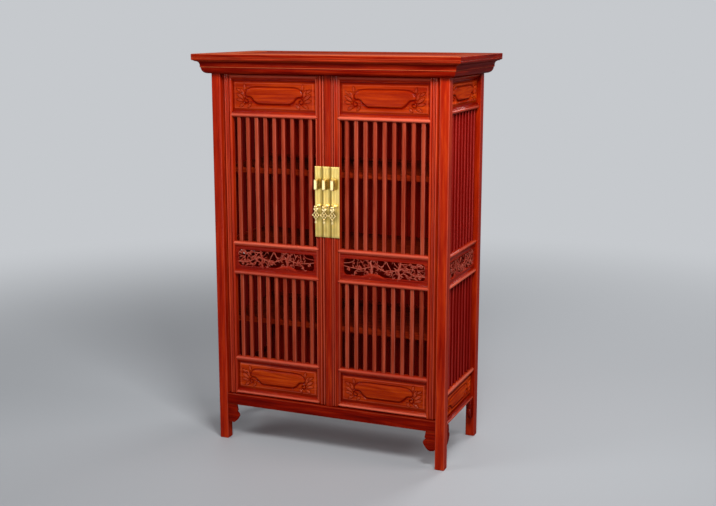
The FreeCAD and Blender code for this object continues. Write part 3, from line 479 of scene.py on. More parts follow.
# Centre post: a loose rosewood upright between the leaves, its face one broad crown of three reeds with a
# quirk along each edge, that stands on the sill with its head in the cornice and lifts out.
centre_half, centre_head = 17.0, 1576.0
centre_corners = [
    (-centre_half, 8, 0), (-14.5, 8, 0), (-14, 5, 1.3), (-5, 1.4, 1.2), (5, 1.4, 1.3), (14, 5, 0),
    (14.5, 8, 0), (centre_half, 8, 0), (centre_half, door_thickness, 0), (-centre_half, door_thickness, 0),
]
centre_section = moulding(np.array(centre_corners) + (0, door_face, 0), 0.6)
centre_shell = carried(centre_section, 2, [(sill_head, 1), (centre_head, 1)])
add_piece("reeded_centre_post", [centre_shell], stile_wood["inner"], "centre_post", "lacquered_frame",
          "centre_post")


# Rails of the doors and sides: rosewood rails tenoned between the uprights, each run with a bead along its
# outer side and a hollow that falls back to the panel, painted dark as painted shade; the bead is painted
# pale as painted highlight and mitred to a point at its end.
hollow_width, bead_rise = 8.0, 4.8
# Each rail as (its lower edge's level, its height), from the bottom up
door_levels = [(door_bottom, 22), (351, 24), (734, 24), (852, 24), (1395, 24), (1546, 22)]
side_levels = [(side_foot, 20), (288, 24), (734, 24), (852, 24), (1426, 24), (1550, 20)]
bays = {"door": (opening_inner, opening_outer, door_levels),
        "side": (-post_inner_y, post_inner_y, side_levels)}
along_bay = {"door": 0, "side": 1}


def moulded_rail(u0, u1, z, height, panel_above):
    """The section, turned over where the panel lies below, carried from end to end; over the last 9 mm it
    shrinks about the bead's middle line and sinks a little."""
    quirk = height - hollow_width
    section = moulding([
        (6, 0, 0), (door_thickness, 0, 0), (door_thickness, height, 0), (8.6, height, -1.2),
        (4.8, quirk + 1.5, 0), (3.6, quirk, 0), (5.0, quirk - 1, bead_rise), (5.0, 1, 0)], 0.5, 12)
    # Painted shade in the hollow behind the bead, and painted highlight over the bead's front
    hollow = np.where(section[:, 1] > quirk, 0.45, hollow_of(section))
    hollow = np.where(section[:, 0] < 4.0, -1.0, hollow)
    middle = quirk / 2
    if not panel_above:
        section, hollow = (section * (1, -1) + (0, height))[::-1], hollow[::-1]
        middle = height - middle
    ends = np.array([-9.0, -6.0, -3.0, 0.0])
    size = np.array([0.1, 0.42, 0.74, 1.0])
    sunk = np.array([0.93, 0.97, 0.99, 1.0])
    places = np.concatenate([u0 + ends, (u1 - ends)[::-1]])
    size, sunk = (np.concatenate([steps, steps[::-1]])[:, None] for steps in (size, sunk))
    depth = door_thickness - (door_thickness - section[:, 0]) * sunk
    level = z + middle + (section[:, 1] - middle) * size
    grid = np.stack([np.repeat(places[:, None], len(section), axis=1), depth, level], -1)
    return grid.reshape(-1, 3), shell_faces(len(places), len(section)), np.tile(hollow, len(places))


def add_to_bays(kind, label, shells, finish, slot, node):
    """Shells made as (along, depth behind the face, level), put in the right door or turned to the right
    side, and the same mirrored to the left, one piece on each."""
    placed = []
    for points, faces, hollow in shells:
        u, depth, z = points.T
        place = (u, door_face + depth, z) if kind == "door" else (side_face - depth, u, z)
        placed.append((np.stack(place, -1), faces, hollow))
    for side, group in (("right", placed), ("left", mirrored(placed))):
        body = side + "_door" if kind == "door" else "case"
        add_piece(f"{label}_{side}_{kind}", group, finish, body, slot, f"{side}_{kind}_{node}")


for kind, (u0, u1, levels) in bays.items():
    rails = [moulded_rail(u0, u1, z, height, number % 2 == 0) for number, (z, height) in enumerate(levels)]
    for label, pair in (("lower_rails", rails[:2]), ("middle_rails", rails[2:4]), ("upper_rails", rails[4:])):
        add_to_bays(kind, "moulded_" + label, pair, frame_wood[along_bay[kind]], "lacquered_frame", label)


# Lattice bars: nine slim rosewood uprights in each opening, crowned on the face and square behind,
# stub-tenoned in the rails.
bar_count, bar_width, bar_front, bar_back, bar_crown = 9, 16.0, 9.0, 25.5, 2.5
end_gap_share = 0.8
# Rosewood shaped with a scraper: the crown's edges are painted pale and pinkish, painted sheen with the stain
# rubbed back, and the flanks dark, painted shade between the bars, so that each bar has a pale face and dark
# sides; the door bars get a paler, pinker copy of the colours than the side bars, as painted sheen
bar_colours = {"door": ("#74200F", "#963620", "#AE4A32"), "side": ("#680400", "#82100A", "#982018")}
bar_wood = {
    "door": rosewood("lacquered_rosewood_bar", 2, bar_colours["door"], 0.2, 0.08, "#CC806E", 0.55),
    "side": rosewood("lacquered_red_rosewood_bar", 2, bar_colours["side"], 0.2, 0.05, "#C04A44", 0.9),
}


def space_over(levels, number):
    """The free height between a rail and the next one up."""
    return levels[number][0] + levels[number][1], levels[number + 1][0]


for kind, (u0, u1, levels) in bays.items():
    gap = (u1 - u0 - bar_count * bar_width) / (bar_count - 1 + 2 * end_gap_share)
    shoulder = bar_front + bar_crown
    bars = []
    for foot, head in (space_over(levels, 1), space_over(levels, 3)):
        for number in range(bar_count):
            left = u0 + end_gap_share * gap + number * (bar_width + gap)
            section = moulding(squared(left, shoulder, left + bar_width, bar_back, bar_crown), 1.0, 8)
            points, faces, hollow = carried(section, 2, [(foot, 1), (head, 1)])
            # Painted shade on the flanks of each bar
            bars.append((points, faces, np.where(points[:, 1] > shoulder + 0.2, 0.75, hollow)))
    add_to_bays(kind, "crowned_bars", bars, bar_wood[kind], "lacquered_frame", "bars")


# Carved panels: floating rosewood boards set back behind the rails, their margins planed down to the tongue
# and the field cut with gouges. A cartouche's lower corners rise over cloud curls, with leaves outside them,
# as such panels traditionally have.
tongue_depth, tongue_reach, board_depth = 14.0, 5.0, 20.0
field_margin, field_slope, field_rise = 6.0, 7.0, 4.0
plateau_rise, plateau_slope, leaf_rise = 1.8, 8.0, 2.8
relief_pitch = 1.25


def smooth_line(points, count):
    """A smooth line through places, by the Catmull-Rom rule, at evenly spaced shares of its runs."""
    points = np.array(points, float)
    padded = np.vstack([2 * points[0] - points[1], points, 2 * points[-1] - points[-2]])
    share = np.linspace(0, len(points) - 1 - 1e-9, count)
    run = share.astype(int)
    t = (share - run)[:, None]
    p0, p1, p2, p3 = (padded[run + k] for k in range(4))
    return 0.5 * (2 * p1 + (p2 - p0) * t + (2 * p0 - 5 * p1 + 4 * p2 - p3) * t ** 2
                  + (3 * p1 - p0 - 3 * p2 + p3) * t ** 3)


def distance_to_line(u, v, line):
    """Each grid point's distance to the nearest run of a line."""
    nearest = np.full(u.shape, np.inf)
    for (u0, v0), (u1, v1) in zip(line, line[1:]):
        run_u, run_v = u1 - u0, v1 - v0
        share = np.clip(((u - u0) * run_u + (v - v0) * run_v) / (run_u ** 2 + run_v ** 2 + 1e-9), 0, 1)
        nearest = np.minimum(nearest, np.hypot(u - u0 - share * run_u, v - v0 - share * run_v))
    return nearest


def inside_line(u, v, line):
    """Which grid points a closed line goes round, by counting how often a ray crosses it."""
    crossings = np.zeros(u.shape, int)
    for (u0, v0), (u1, v1) in zip(line, line[1:]):
        if v0 != v1:
            crossings += ((v0 > v) != (v1 > v)) & (u < (u1 - u0) * (v - v0) / (v1 - v0) + u0)
    return crossings % 2 == 1


def gouged(distance, half_width, depth):
    """A round-bottomed cut of a gouge: depth times a bell over the distance from its line."""
    return depth * np.exp(-(distance / half_width) ** 2)


def leaf_relief(u, v, root, tip, half_width):
    """A carved leaf: crowned across, pointed at both ends, with a cut midrib, and a cut round its outline."""
    run = np.subtract(tip, root)
    length = np.hypot(*run)
    along = ((u - root[0]) * run[0] + (v - root[1]) * run[1]) / length ** 2
    across = (-(u - root[0]) * run[1] + (v - root[1]) * run[0]) / length
    width = half_width * np.sin(np.pi * np.clip(along, 0, 1)) ** 0.75
    crown = np.clip(1 - (across / (width + 1e-6)) ** 2, 0, 1) * ((along > 0) & (along < 1))
    beyond = np.maximum(np.abs(across) - width, np.maximum(-along, along - 1) * length)
    return (leaf_rise * crown ** 0.5 - gouged(across, 0.9, leaf_rise * 0.9) * (crown > 0),
            gouged(np.maximum(beyond, 0), 1.7, 3.0) * (crown <= 0))


# Places in parts of half the panel's width and height; each leaf as its root, its tip and its half width in
# mm
cartouche_shares = [
    (0, 0.54), (0.32, 0.545), (0.5, 0.52), (0.61, 0.43), (0.67, 0.24), (0.69, 0.08), (0.67, -0.04),
    (0.63, -0.09), (0.58, -0.1), (0.53, -0.18), (0.48, -0.36), (0.41, -0.51), (0.34, -0.56), (0, -0.57),
]
curl_shares = [
    (0.48, -0.36), (0.53, -0.2), (0.6, -0.09), (0.67, -0.16), (0.7, -0.34), (0.67, -0.5), (0.615, -0.46),
    (0.61, -0.32), (0.645, -0.28),
]
leaf_shares = [
    ((0.7, -0.06), (0.78, 0.42), 6.2), ((0.72, -0.2), (0.88, 0.12), 6.0), ((0.73, -0.36), (0.89, -0.24), 5.4),
    ((0.71, -0.52), (0.82, -0.74), 5.4), ((0.68, 0.36), (0.7, 0.74), 5.0), ((0.54, -0.5), (0.62, -0.78), 4.8),
    ((0.76, 0.2), (0.89, 0.44), 4.4),
]
stalk_shares = [
    [(0.67, -0.2), (0.72, -0.06), (0.73, 0.16), (0.7, 0.38)], [(0.7, -0.36), (0.75, -0.38), (0.8, -0.33)],
    [(0.66, -0.5), (0.7, -0.58), (0.76, -0.66)],
]


def carved_board(u0, u1, z0, z1):
    """The panel's face as a height over its plane, with the flat back and edges that close it. The cartouche
    is a low plateau with a deep cut round it and a rounded lip outside the cut; painted shade, with stain,
    stands in the cuts and along the margins, a painted shadow under the top rail, and painted highlight on
    the leaves and the field's edge."""
    across = np.linspace(u0 - tongue_reach, u1 + tongue_reach, int((u1 - u0) / relief_pitch))
    up = np.linspace(z0 - tongue_reach, z1 + tongue_reach, int((z1 - z0) / relief_pitch))
    grid_u, grid_z = np.meshgrid(across, up, indexing="ij")
    u, v = grid_u - (u0 + u1) / 2, grid_z - (z0 + z1) / 2
    half = np.array([(u1 - u0) / 2, (z1 - z0) / 2])
    edge = np.minimum(half[0] - np.abs(u), half[1] - np.abs(v))
    slope = np.clip((edge - field_margin) / field_slope, 0, 1)
    right = smooth_line(np.array(cartouche_shares) * half, 100)
    outline = np.vstack([right, right[::-1] * (-1, 1)])
    ring = distance_to_line(u, v, outline)
    inside = inside_line(u, v, outline)
    side = np.abs(u)
    curl = distance_to_line(side, v, smooth_line(np.array(curl_shares) * half, 60))
    # The cuts grow bolder from the panel's head to its foot
    share = np.clip(0.5 - 1.2 * v / half[1], 0, 1)
    bold = 0.55 + 0.45 * share * share * (3 - 2 * share)
    plateau = plateau_rise * np.clip(ring / plateau_slope, 0, 1) ** 0.6
    raised = np.where(inside, plateau, bold * gouged(ring - 5.6, 2.2, 1.7))
    raised += gouged(curl - 3.8, 1.6, 1.2) * ~inside
    cuts = np.maximum(gouged(ring, 2.0 + 2.0 * bold, 4.8 * bold), gouged(curl, 2.8, 4.2) * (ring > 1.5))
    for stalk in stalk_shares:
        away = distance_to_line(side, v, smooth_line(np.array(stalk) * half, 20))
        raised += gouged(away, 1.5, 1.8) * ~inside
        cuts = np.maximum(cuts, gouged(away - 3.0, 1.1, 1.8) * ~inside * (ring > 3))
    leaves = np.zeros(u.shape)
    for root, tip, half_leaf in leaf_shares:
        leaf, round_cut = leaf_relief(side, v, np.multiply(root, half), np.multiply(tip, half), half_leaf)
        leaves = np.where(leaf != 0, leaf, leaves)
        cuts = np.where(leaf != 0, cuts * 0.3, np.maximum(cuts, round_cut))
    height = field_rise * slope + np.where(slope >= 1, raised * (leaves == 0) + leaves - cuts, 0)
    front = np.stack([grid_u, tongue_depth - height, grid_z], -1)
    index = np.arange(u.size).reshape(u.shape)
    quads = np.stack([index[:-1, :-1], index[1:, :-1], index[1:, 1:], index[:-1, 1:]], -1).reshape(-1, 4)
    rim = np.concatenate([index[:-1, 0], index[-1, :-1], index[:0:-1, -1], index[0, :0:-1]])
    back = front.reshape(-1, 3)[rim].copy()
    back[:, 1] = board_depth
    back_rim = u.size + np.arange(len(rim))
    walls = np.stack([rim, back_rim, np.roll(back_rim, -1), np.roll(rim, -1)], -1)
    # Painted shade, with stain, in the cuts and along the margins, most as a painted shadow under the top
    # rail;
    # painted highlight on the leaves and the field's edge
    hollow = np.clip(cuts / 3.4, 0, 0.85) * (slope >= 1)
    hollow -= 0.6 * np.clip(leaves / leaf_rise, 0, 1) * (cuts < 0.6)
    hollow -= 0.7 * np.exp(-((edge - field_margin - field_slope) / 1.3) ** 2) * (cuts < 0.6)
    # The painted shadow under the top rail, and painted shade along every margin
    under_rail = np.maximum(half[1] - v, 0)
    margin = np.maximum(0.8 * np.exp(-(edge / 7) ** 4), 0.85 * np.exp(-(under_rail / 12) ** 4))
    hollow = np.where(hollow < -0.02, hollow, np.maximum(hollow, margin))
    points = np.vstack([front.reshape(-1, 3), back])
    return points, [quads, walls, back_rim[None]], np.concatenate([hollow.reshape(-1), np.zeros(len(rim))])


for kind, (u0, u1, levels) in bays.items():
    panels = [carved_board(u0, u1, *space_over(levels, number)) for number in (0, 4)]
    add_to_bays(kind, "cartouche_panels", panels, panel_wood[along_bay[kind]], "lacquered_panel",
                "carved_panels")


# Pierced panels: a window sawn in a rosewood board, its rim beaded, and inside it a garden of two trunks on a
# mound, a flowering branch, curls and leaves, sawn and then rounded over by carving from the same board.
window_front, window_back = 9.0, 17.0
window_end, window_edge, window_corner = 14.0, 13.0, 14.0
# Rosewood cut with a knife and lacquered: the fronts are painted pale, painted highlight with the stain wiped
# off, before the depths, which are painted dark as painted shade
openwork_colours = ("#6A0E06", "#88190A", "#A42C12")
openwork_wood = [rosewood("carved_openwork_grain_" + axis, number, openwork_colours, 0.3, 0.1, "#B4604E", 0.9)
                 for number, axis in enumerate("xy")]


def framed(outer, inner, profile, hollow=0.0):
    """A frame between an outer and an inner loop of as many points: each profile point is how far it lies
    from the outer loop to the inner one, and its depth."""
    share, depth = np.array(profile, float).T
    flat = outer[:, None] + (inner - outer)[:, None] * share[None, :, None]
    grid = np.stack([flat[..., 0], np.broadcast_to(depth, flat.shape[:2]), flat[..., 1]], -1)
    loops, around = grid.shape[:2]
    index = np.arange(loops * around).reshape(loops, around)
    ahead = np.roll(index, -1, axis=0)
    walls = np.stack([index, ahead, np.roll(ahead, -1, axis=1), np.roll(index, -1, axis=1)], -1)
    return grid.reshape(-1, 3), [walls.reshape(-1, 4)], hollow


def on_circle(turn):
    """The points of a unit circle at these turns."""
    return np.stack([np.cos(turn), np.sin(turn)], -1)


def circle(count):
    """A unit circle as evenly spaced points."""
    return on_circle(np.linspace(0, 2 * np.pi, count, endpoint=False))


def rounded_loop(low, high, radius, bend=9, run=12):
    """A rectangle with round corners as one loop: each corner's arc, then points along the side after it."""
    low, high = np.array(low, float), np.array(high, float)
    corners = np.array([[high[0], low[1]], high, [low[0], high[1]], low])
    inward = np.array([[-1, 1], [-1, -1], [1, -1], [1, 1]]) * radius
    turn = np.linspace(-np.pi / 2, 0, bend)[None] + np.arange(4)[:, None] * np.pi / 2
    arcs = (corners + inward)[:, None] + radius * on_circle(turn)
    share = np.linspace(0, 1, run)[1:-1][None, :, None]
    sides = arcs[:, -1:] * (1 - share) + np.roll(arcs[:, :1], -1, axis=0) * share
    return np.concatenate([arcs, sides], axis=1).reshape(-1, 2)


def loop_on_edges(loop, radius, low, high):
    """Each point of a round-cornered loop moved out square to the loop until it meets a larger rectangle."""
    core = np.clip(loop, loop.min(0) + radius, loop.max(0) - radius)
    ray = loop - core
    room = np.where(ray > 0, np.array(high) - core, core - np.array(low))
    return core + ray * (room / (np.abs(ray) + 1e-9)).min(1)[:, None]


round_section = circle(10)
leaf_section = np.array([(-1, 0), (-0.6, -0.75), (-0.15, -0.8), (0, -0.2), (0.15, -0.8), (0.6, -0.75), (1, 0),
                         (0.5, 0.8), (-0.5, 0.8)])


def grown(path, widths, depths, unit_section):
    """A unit section carried along a path of (along, depth, level), scaled at each step by a half width
    across the path and a half depth through the board; painted pale on its front, as painted highlight with
    wear, and dark on its flanks and back, as painted shade."""
    step = np.gradient(path, axis=0)
    across = np.stack([-step[:, 2], np.zeros(len(path)), step[:, 0]], -1)
    across /= np.linalg.norm(across, axis=1)[:, None] + 1e-9
    side = unit_section[None, :, 0, None] * across[:, None] * np.asarray(widths)[:, None, None]
    through = unit_section[None, :, 1, None] * np.array([0, 1, 0]) * np.asarray(depths)[:, None, None]
    grid = path[:, None] + side + through
    back = unit_section[:, 1]
    # Painted highlight on the front, painted shade on the flanks and back
    hollow = np.tile(np.where(back > -0.3, 0.5 * (back + 0.6), back), len(path))
    return grid.reshape(-1, 3), shell_faces(len(path), len(unit_section)), hollow


def branch(line, root, tip, depth=12.6):
    """A bent branch that tapers from root to tip and swells at its knots."""
    share = np.linspace(0, 1, len(line))
    half = (root + (tip - root) * share) / 2 * (1 + 0.22 * np.sin(share * 30) ** 6)
    path = np.stack([line[:, 0], depth + 0.9 * np.sin(share * 9), line[:, 1]], -1)
    return grown(path, half, np.minimum(half * 1.15, 4.0), round_section)


def blade(root, tip, half_width, bend, depth):
    """A leaf from root to tip, bowed sideways and towards the front, widest before its middle."""
    share = np.linspace(0, 1, 9)
    run = np.subtract(tip, root)
    bow = np.sin(np.pi * share)[:, None] * np.array([-run[1], run[0]]) * bend
    line = np.array(root) + share[:, None] * run + bow
    width = half_width * np.sin(np.pi * (share * 0.94 + 0.04) ** 0.8)
    path = np.stack([line[:, 0], depth - 1.5 * np.sin(np.pi * share), line[:, 1]], -1)
    return grown(path, width, 0.3 * width + 0.7, leaf_section)


def blossom(middle, radius):
    """Five broad petals round a domed heart, whose rings shrink as it rises."""
    ways = on_circle(0.3 + np.arange(5) * 2 * np.pi / 5)
    shells = [blade(middle + 0.15 * radius * way, middle + radius * way, 0.5 * radius, 0.0, 10.9)
              for way in ways]
    lift = np.linspace(0, 1, 6)[:, None]
    heart = np.sqrt(1 - (lift * 0.97) ** 2) * radius * 0.28
    ring = np.stack([middle[0] + round_section[:, 0] * heart,
                     np.repeat(11.5 - 3.3 * lift, len(round_section), axis=1),
                     middle[1] + round_section[:, 1] * heart], -1)
    return shells + [(ring.reshape(-1, 3), shell_faces(*ring.shape[:2]), 0.0)]


# Places in parts of the window's width and height; each stem with its root and tip width and its leaves, each
# curl and blossom with its radius in mm
stems = [
    ([(1.04, 0.26), (0.87, 0.3), (0.72, 0.58), (0.55, 0.36), (0.38, 0.62), (0.2, 0.42), (-0.04, 0.56)],
     6.4, 3.6, 22),
    ([(0.33, -0.1), (0.352, 0.3), (0.35, 0.62), (0.335, 0.85), (0.36, 1.1)], 9.5, 7.0, 5),
    ([(0.67, -0.1), (0.69, 0.22), (0.675, 0.5), (0.7, 0.78), (0.7, 1.1)], 9.5, 7.5, 5),
    ([(0.455, 0.38), (0.49, 0.7), (0.53, 1.08)], 4.2, 3.6, 2),
    ([(0.52, 1.08), (0.555, 0.75), (0.59, 0.42)], 4.4, 3.4, 2),
    ([(0.385, 1.08), (0.405, 0.8), (0.445, 0.5)], 4.2, 3.0, 3),
    ([(0.71, 0.88), (0.8, 0.9), (0.9, 0.85), (1.03, 0.9)], 4.0, 3.2, 5),
    ([(0.845, 0.9), (0.85, 0.65), (0.83, 0.42)], 3.8, 2.8, 3),
    ([(0.2, 0.42), (0.17, 0.68), (0.19, 1.08)], 4.0, 2.8, 4),
    ([(-0.04, 0.7), (0.06, 0.74), (0.12, 0.86), (0.15, 1.08)], 3.8, 2.6, 2),
    ([(0.2, 0.42), (0.14, 0.22), (0.13, -0.1)], 4.0, 3.0, 3),
    ([(0.69, 0.22), (0.74, 0.34), (0.8, 0.2), (0.83, -0.1)], 4.6, 3.2, 5),
    ([(0.9, 0.3), (0.93, 0.6), (1.03, 0.68)], 4.2, 3.0, 4),
    ([(0.6, -0.1), (0.615, 0.2), (0.66, 0.35)], 3.6, 3.0, 2),
    ([(0.27, 0.5), (0.24, 0.75), (0.27, 1.08)], 4.0, 2.8, 3),
    ([(0.13, 0.2), (0.22, 0.3), (0.31, 0.3)], 3.4, 2.4, 3),
    ([(0.3, 1.08), (0.31, 0.72), (0.345, 0.42)], 3.8, 2.8, 3),
    ([(0.43, 1.08), (0.42, 0.8), (0.46, 0.62)], 3.2, 2.4, 2),
    ([(0.7, 0.62), (0.78, 0.66), (0.88, 0.6)], 3.8, 2.6, 4),
    ([(0.62, 1.08), (0.635, 0.86), (0.675, 0.66)], 3.6, 2.8, 2),
    ([(0.86, 0.1), (0.93, 0.3), (1.03, 0.44)], 3.6, 2.6, 4),
]
side_stems = [
    ([(0.49, -0.1), (0.51, 0.15), (0.48, 0.42)], 3.4, 2.4, 6),
    ([(0.56, -0.1), (0.55, 0.12), (0.57, 0.4)], 3.4, 2.4, 6),
    ([(0.62, -0.1), (0.61, 0.12), (0.62, 0.36)], 3.4, 2.4, 6),
]
mound_shares = [(0.22, -0.1), (0.28, 0.02), (0.35, 0.1), (0.43, 0.04), (0.54, -0.1)]
curls = [((0.275, 0.16), 7.5), ((0.405, 0.19), 6.5), ((0.56, 0.3), 12.5), ((0.06, 0.36), 5.5)]
blossoms = [
    ((0.56, 0.3), 9.5), ((0.87, 0.34), 9.5), ((0.78, 0.62), 8.5), ((0.2, 0.46), 8.5), ((0.94, 0.16), 7.5),
    ((0.8, 0.14), 7.0), ((0.93, 0.56), 7.0), ((0.42, 0.6), 7.0), ((0.13, 0.76), 6.0), ((0.955, 0.86), 9.0),
    ((0.9, 0.82), 8.5), ((0.825, 0.92), 7.0), ((0.925, 0.94), 10.0),
]
side_blossoms = [((0.42, 0.32), 7.5), ((0.52, 0.18), 7.5), ((0.6, 0.14), 8.0), ((0.41, 0.53), 7.5),
                 ((0.48, 0.44), 7.5)]
# Each point of the rim as (part of the way from the board's edge to the window, depth)
window_rim = [(0, window_front), (0.68, window_front), (0.72, 9.9), (0.77, 8.2), (0.86, 7.6), (0.95, 8.4),
              (1, 10.4), (1, window_back), (0, window_back)]


def pierced_board(u0, u1, z0, z1, stems, blossoms):
    """The board with its window and beaded rim, and every piece of the carving inside it."""
    low = np.array([u0 + window_end, z0 + window_edge])
    high = np.array([u1 - window_end, z1 - window_edge])
    inner = rounded_loop(low, high, window_corner)
    outer = loop_on_edges(inner, window_corner, (u0 - tongue_reach, z0 - tongue_reach),
                          (u1 + tongue_reach, z1 + tongue_reach))
    shells = [framed(outer, inner, window_rim, 0.1)]
    growth = np.random.default_rng(5)
    for places, root, tip, leaves in stems:
        line = smooth_line(low + np.array(places) * (high - low), 10 * len(places))
        shells.append(branch(line, root, tip))
        for number, share in enumerate(np.linspace(0.08, 0.95, leaves)):
            at = int(share * (len(line) - 2))
            way = np.arctan2(*(line[at + 1] - line[at])[::-1])
            way += (1 if number % 2 else -1) * growth.uniform(0.6, 1.15)
            length = growth.uniform(12, 21)
            tip_place = np.clip(line[at] + length * on_circle(way), low + 1.5, high - 1.5)
            if np.hypot(*(tip_place - line[at])) > 6:
                shells.append(blade(line[at], tip_place, growth.uniform(2.4, 3.8),
                                    growth.uniform(-0.15, 0.15), growth.uniform(10.8, 13.2)))
    mound = smooth_line(low + np.array(mound_shares) * (high - low), 26)
    share = np.linspace(0, 1, len(mound))
    heap = 3.0 + 5.5 * np.sin(np.pi * share) * (1 + 0.3 * np.sin(share * 19))
    points, faces, _ = grown(np.insert(mound, 1, 12.0, axis=1), heap, np.full(len(mound), 4.4), round_section)
    shells.append((points, faces, 0.0))
    turn = np.linspace(-1.2, 7.4, 34)
    for middle, radius in curls:
        reach = radius * (1.05 - 0.075 * turn)
        spiral = low + np.array(middle) * (high - low) + reach[:, None] * on_circle(turn)
        shells.append(branch(spiral, 3.4, 2.2, 11.4))
    for middle, radius in blossoms:
        shells += blossom(low + np.array(middle) * (high - low), radius)
    return shells


for kind, (u0, u1, levels) in bays.items():
    extra_stems, extra_blossoms = (side_stems, side_blossoms) if kind == "side" else ([], [])
    shells = pierced_board(u0, u1, *space_over(levels, 2), stems + extra_stems, blossoms + extra_blossoms)
    add_to_bays(kind, "flowering_branch", shells, openwork_wood[along_bay[kind]], "lacquered_panel",
                "openwork")


# Brass face plates: three long strips of pale brass, rolled with shallow reeds and polished, pinned to the
# two lock stiles and the centre post.
def polished_brass(name, colour, shade, roughness):
    """Pale brass, polished by hand: its tone and its gloss differ a little where the buff has worn it, and
    an olive colour, painted shade and painted reflection, stands where each piece's hollow attribute gives
    it."""
    finish, tree = new_finish(name)
    place = add_node(tree, "ShaderNodeTexCoord").outputs["Object"]
    hollow = add_node(tree, "ShaderNodeAttribute", [("attribute_name", "hollow")]).outputs["Fac"]
    # Worn patches some 20 mm wide
    worn = add_node(tree, "ShaderNodeTexNoise", [("Scale", 45.0), ("Detail", 3.0)], [("Vector", place)])
    tint = add_node(tree, "ShaderNodeMix", [("data_type", "RGBA"), (6, linear(colour)), (7, linear(shade))],
                    [(0, worn)]).outputs[2]
    # Olive painted shade and reflection, where the hollow attribute gives it
    tint = add_node(tree, "ShaderNodeMix", [("data_type", "RGBA"), (7, linear(painted_shade_olive))],
                    [(0, hollow), (6, tint)]).outputs[2]
    buffed = add_node(tree, "ShaderNodeMapRange",
                      [("To Min", roughness - 0.05), ("To Max", roughness + 0.09)], [("Value", worn)])
    metal = add_node(tree, "ShaderNodeBsdfPrincipled", [("Metallic", 1.0)],
                     [("Base Color", tint), ("Roughness", buffed)])
    add_node(tree, "ShaderNodeOutputMaterial", links=[("Surface", metal)])
    return finish


# Rolled brass sheet, polished: broad soft lights along the reeds, and an olive tone that is painted shade and
# painted reflection
painted_shade_olive = "#6E5600"
brass = polished_brass("polished_pale_brass", "#FFE690", "#FFD26C", 0.3)
plate_pitch, plate_half, plate_foot, plate_head = 36.0, 17.5, 921.0, 1209.0
plate_thickness, reed_rise, plate_bevel = 1.2, 1.0, 3.0
# Painted shadows on the plates, each as (level, reach, strength): behind the pendant, behind the lug and
# below the pendant
painted_shadow_spots = ((1010, 28, 0.9), (1139, 24, 0.5), (950, 34, 0.4))
strips = {"left": -plate_pitch, "centre": 0.0, "right": plate_pitch}
carriers = {"left": "left_door", "centre": "centre_post", "right": "right_door"}


def reeded_plate(x, shaded):
    """Three reeds carried up the plate, thinned over the last 3 mm at each end as a bevel. Painted shade in
    the olive colour stands along one side, and painted shadows in round spots behind the lug and the pendant."""
    reeds = [(place * plate_half, -plate_thickness, reed_rise) for place in (-1, -1 / 3, 1 / 3)]
    section = moulding(reeds + [(plate_half, -plate_thickness, 0), (plate_half, 0, 0), (-plate_half, 0, 0)],
                       0.35, 10)
    ends = np.linspace(0, plate_bevel, 4)
    levels = np.concatenate([plate_foot + ends, np.linspace(plate_foot + 10, plate_head - 10, 34),
                             (plate_head - ends)[::-1]])
    from_end = np.minimum(levels - plate_foot, plate_head - levels)
    thin = np.interp(from_end, ends, [0.35, 0.7, 0.9, 1.0])[:, None]
    level = np.repeat(levels[:, None], len(section), axis=1)
    grid = np.stack([np.broadcast_to(x + section[:, 0], level.shape), door_face + section[:, 1] * thin,
                     level], -1)
    across = section[:, 0] / plate_half
    # Painted shade along the plate's shaded side
    painted_shade = shaded * np.exp(-((across - 0.78) / 0.32) ** 2)
    # Painted shadows of the lug and the pendant
    for middle, reach, strength in painted_shadow_spots:
        spot = np.exp(-((level - middle) / reach) ** 2 - ((across + 0.3) / 0.9) ** 2)
        painted_shade = np.maximum(painted_shade, strength * spot)
    return grid.reshape(-1, 3), shell_faces(*level.shape), painted_shade.reshape(-1)


for side, x in strips.items():
    plate = reeded_plate(x, 0.1 if side == "right" else 0.8)
    add_piece(f"reeded_{side}_face_plate", [plate], brass, carriers[side], "polished_brass",
              f"{side}_face_plate")


# Lock lugs: cast brass eyes, filed and rubbed bright, that stand out through the plates, bored crosswise for
# the bar of a long padlock.
lug_reach, lug_foot, lug_head, lug_corner = 38.0, 1118.0, 1160.0, 3.0
bore_out, bore_radius = 24.0, 6.0
# Cast brass rubbed bright by hands and cloth, and painted paler than the plates as painted highlight; a
# little sharper in its lights too
bright_brass = polished_brass("rubbed_brass_painted_highlight", "#FFEBB4", "#FFDE94", 0.27)


def bored_lug(x):
    """A frame between the lug's round-cornered outline and its bore, carried across its width, edges eased.
    Painted shade, in the olive colour, grows towards the plate."""
    centre = np.array([door_face - bore_out, (lug_foot + lug_head) / 2])
    outline = rounded_loop((door_face - lug_reach, lug_foot), (door_face, lug_head), lug_corner, 5, 8)
    ray = outline - centre
    bore = centre + bore_radius * ray / np.hypot(*ray.T)[:, None]
    profile = [(0.09, -6), (0, -5.2), (0, 5.2), (0.09, 6), (0.88, 6), (1, 5.4), (1, -5.4), (0.88, -6)]
    points, faces, _ = framed(outline, bore, profile)
    # Painted shade towards the plate
    painted_shade = np.clip((points[:, 0] - door_face + 33.5) / 20, 0, 0.5)
    return np.stack([x + points[:, 1], points[:, 0], points[:, 2]], -1), faces, painted_shade


for side, x in strips.items():
    add_piece(f"cast_{side}_lock_lug", [bored_lug(x)], bright_brass, carriers[side], "polished_brass",
              f"{side}_lock_lug")


# Staples: turned brass pins driven through the plates, a collar on each, and at the end a flat eye, filed
# from the same rod, that the pendant hangs from.
staple_level, pin_depth = 1050.0, door_face - 34
# As (out from the door's face, radius)
stem_profile = [(0, 5.6), (1.9, 7.2), (4.1, 7.5), (6.1, 6.8), (6.9, 4.6), (7.7, 3.4), (28, 3.4)]


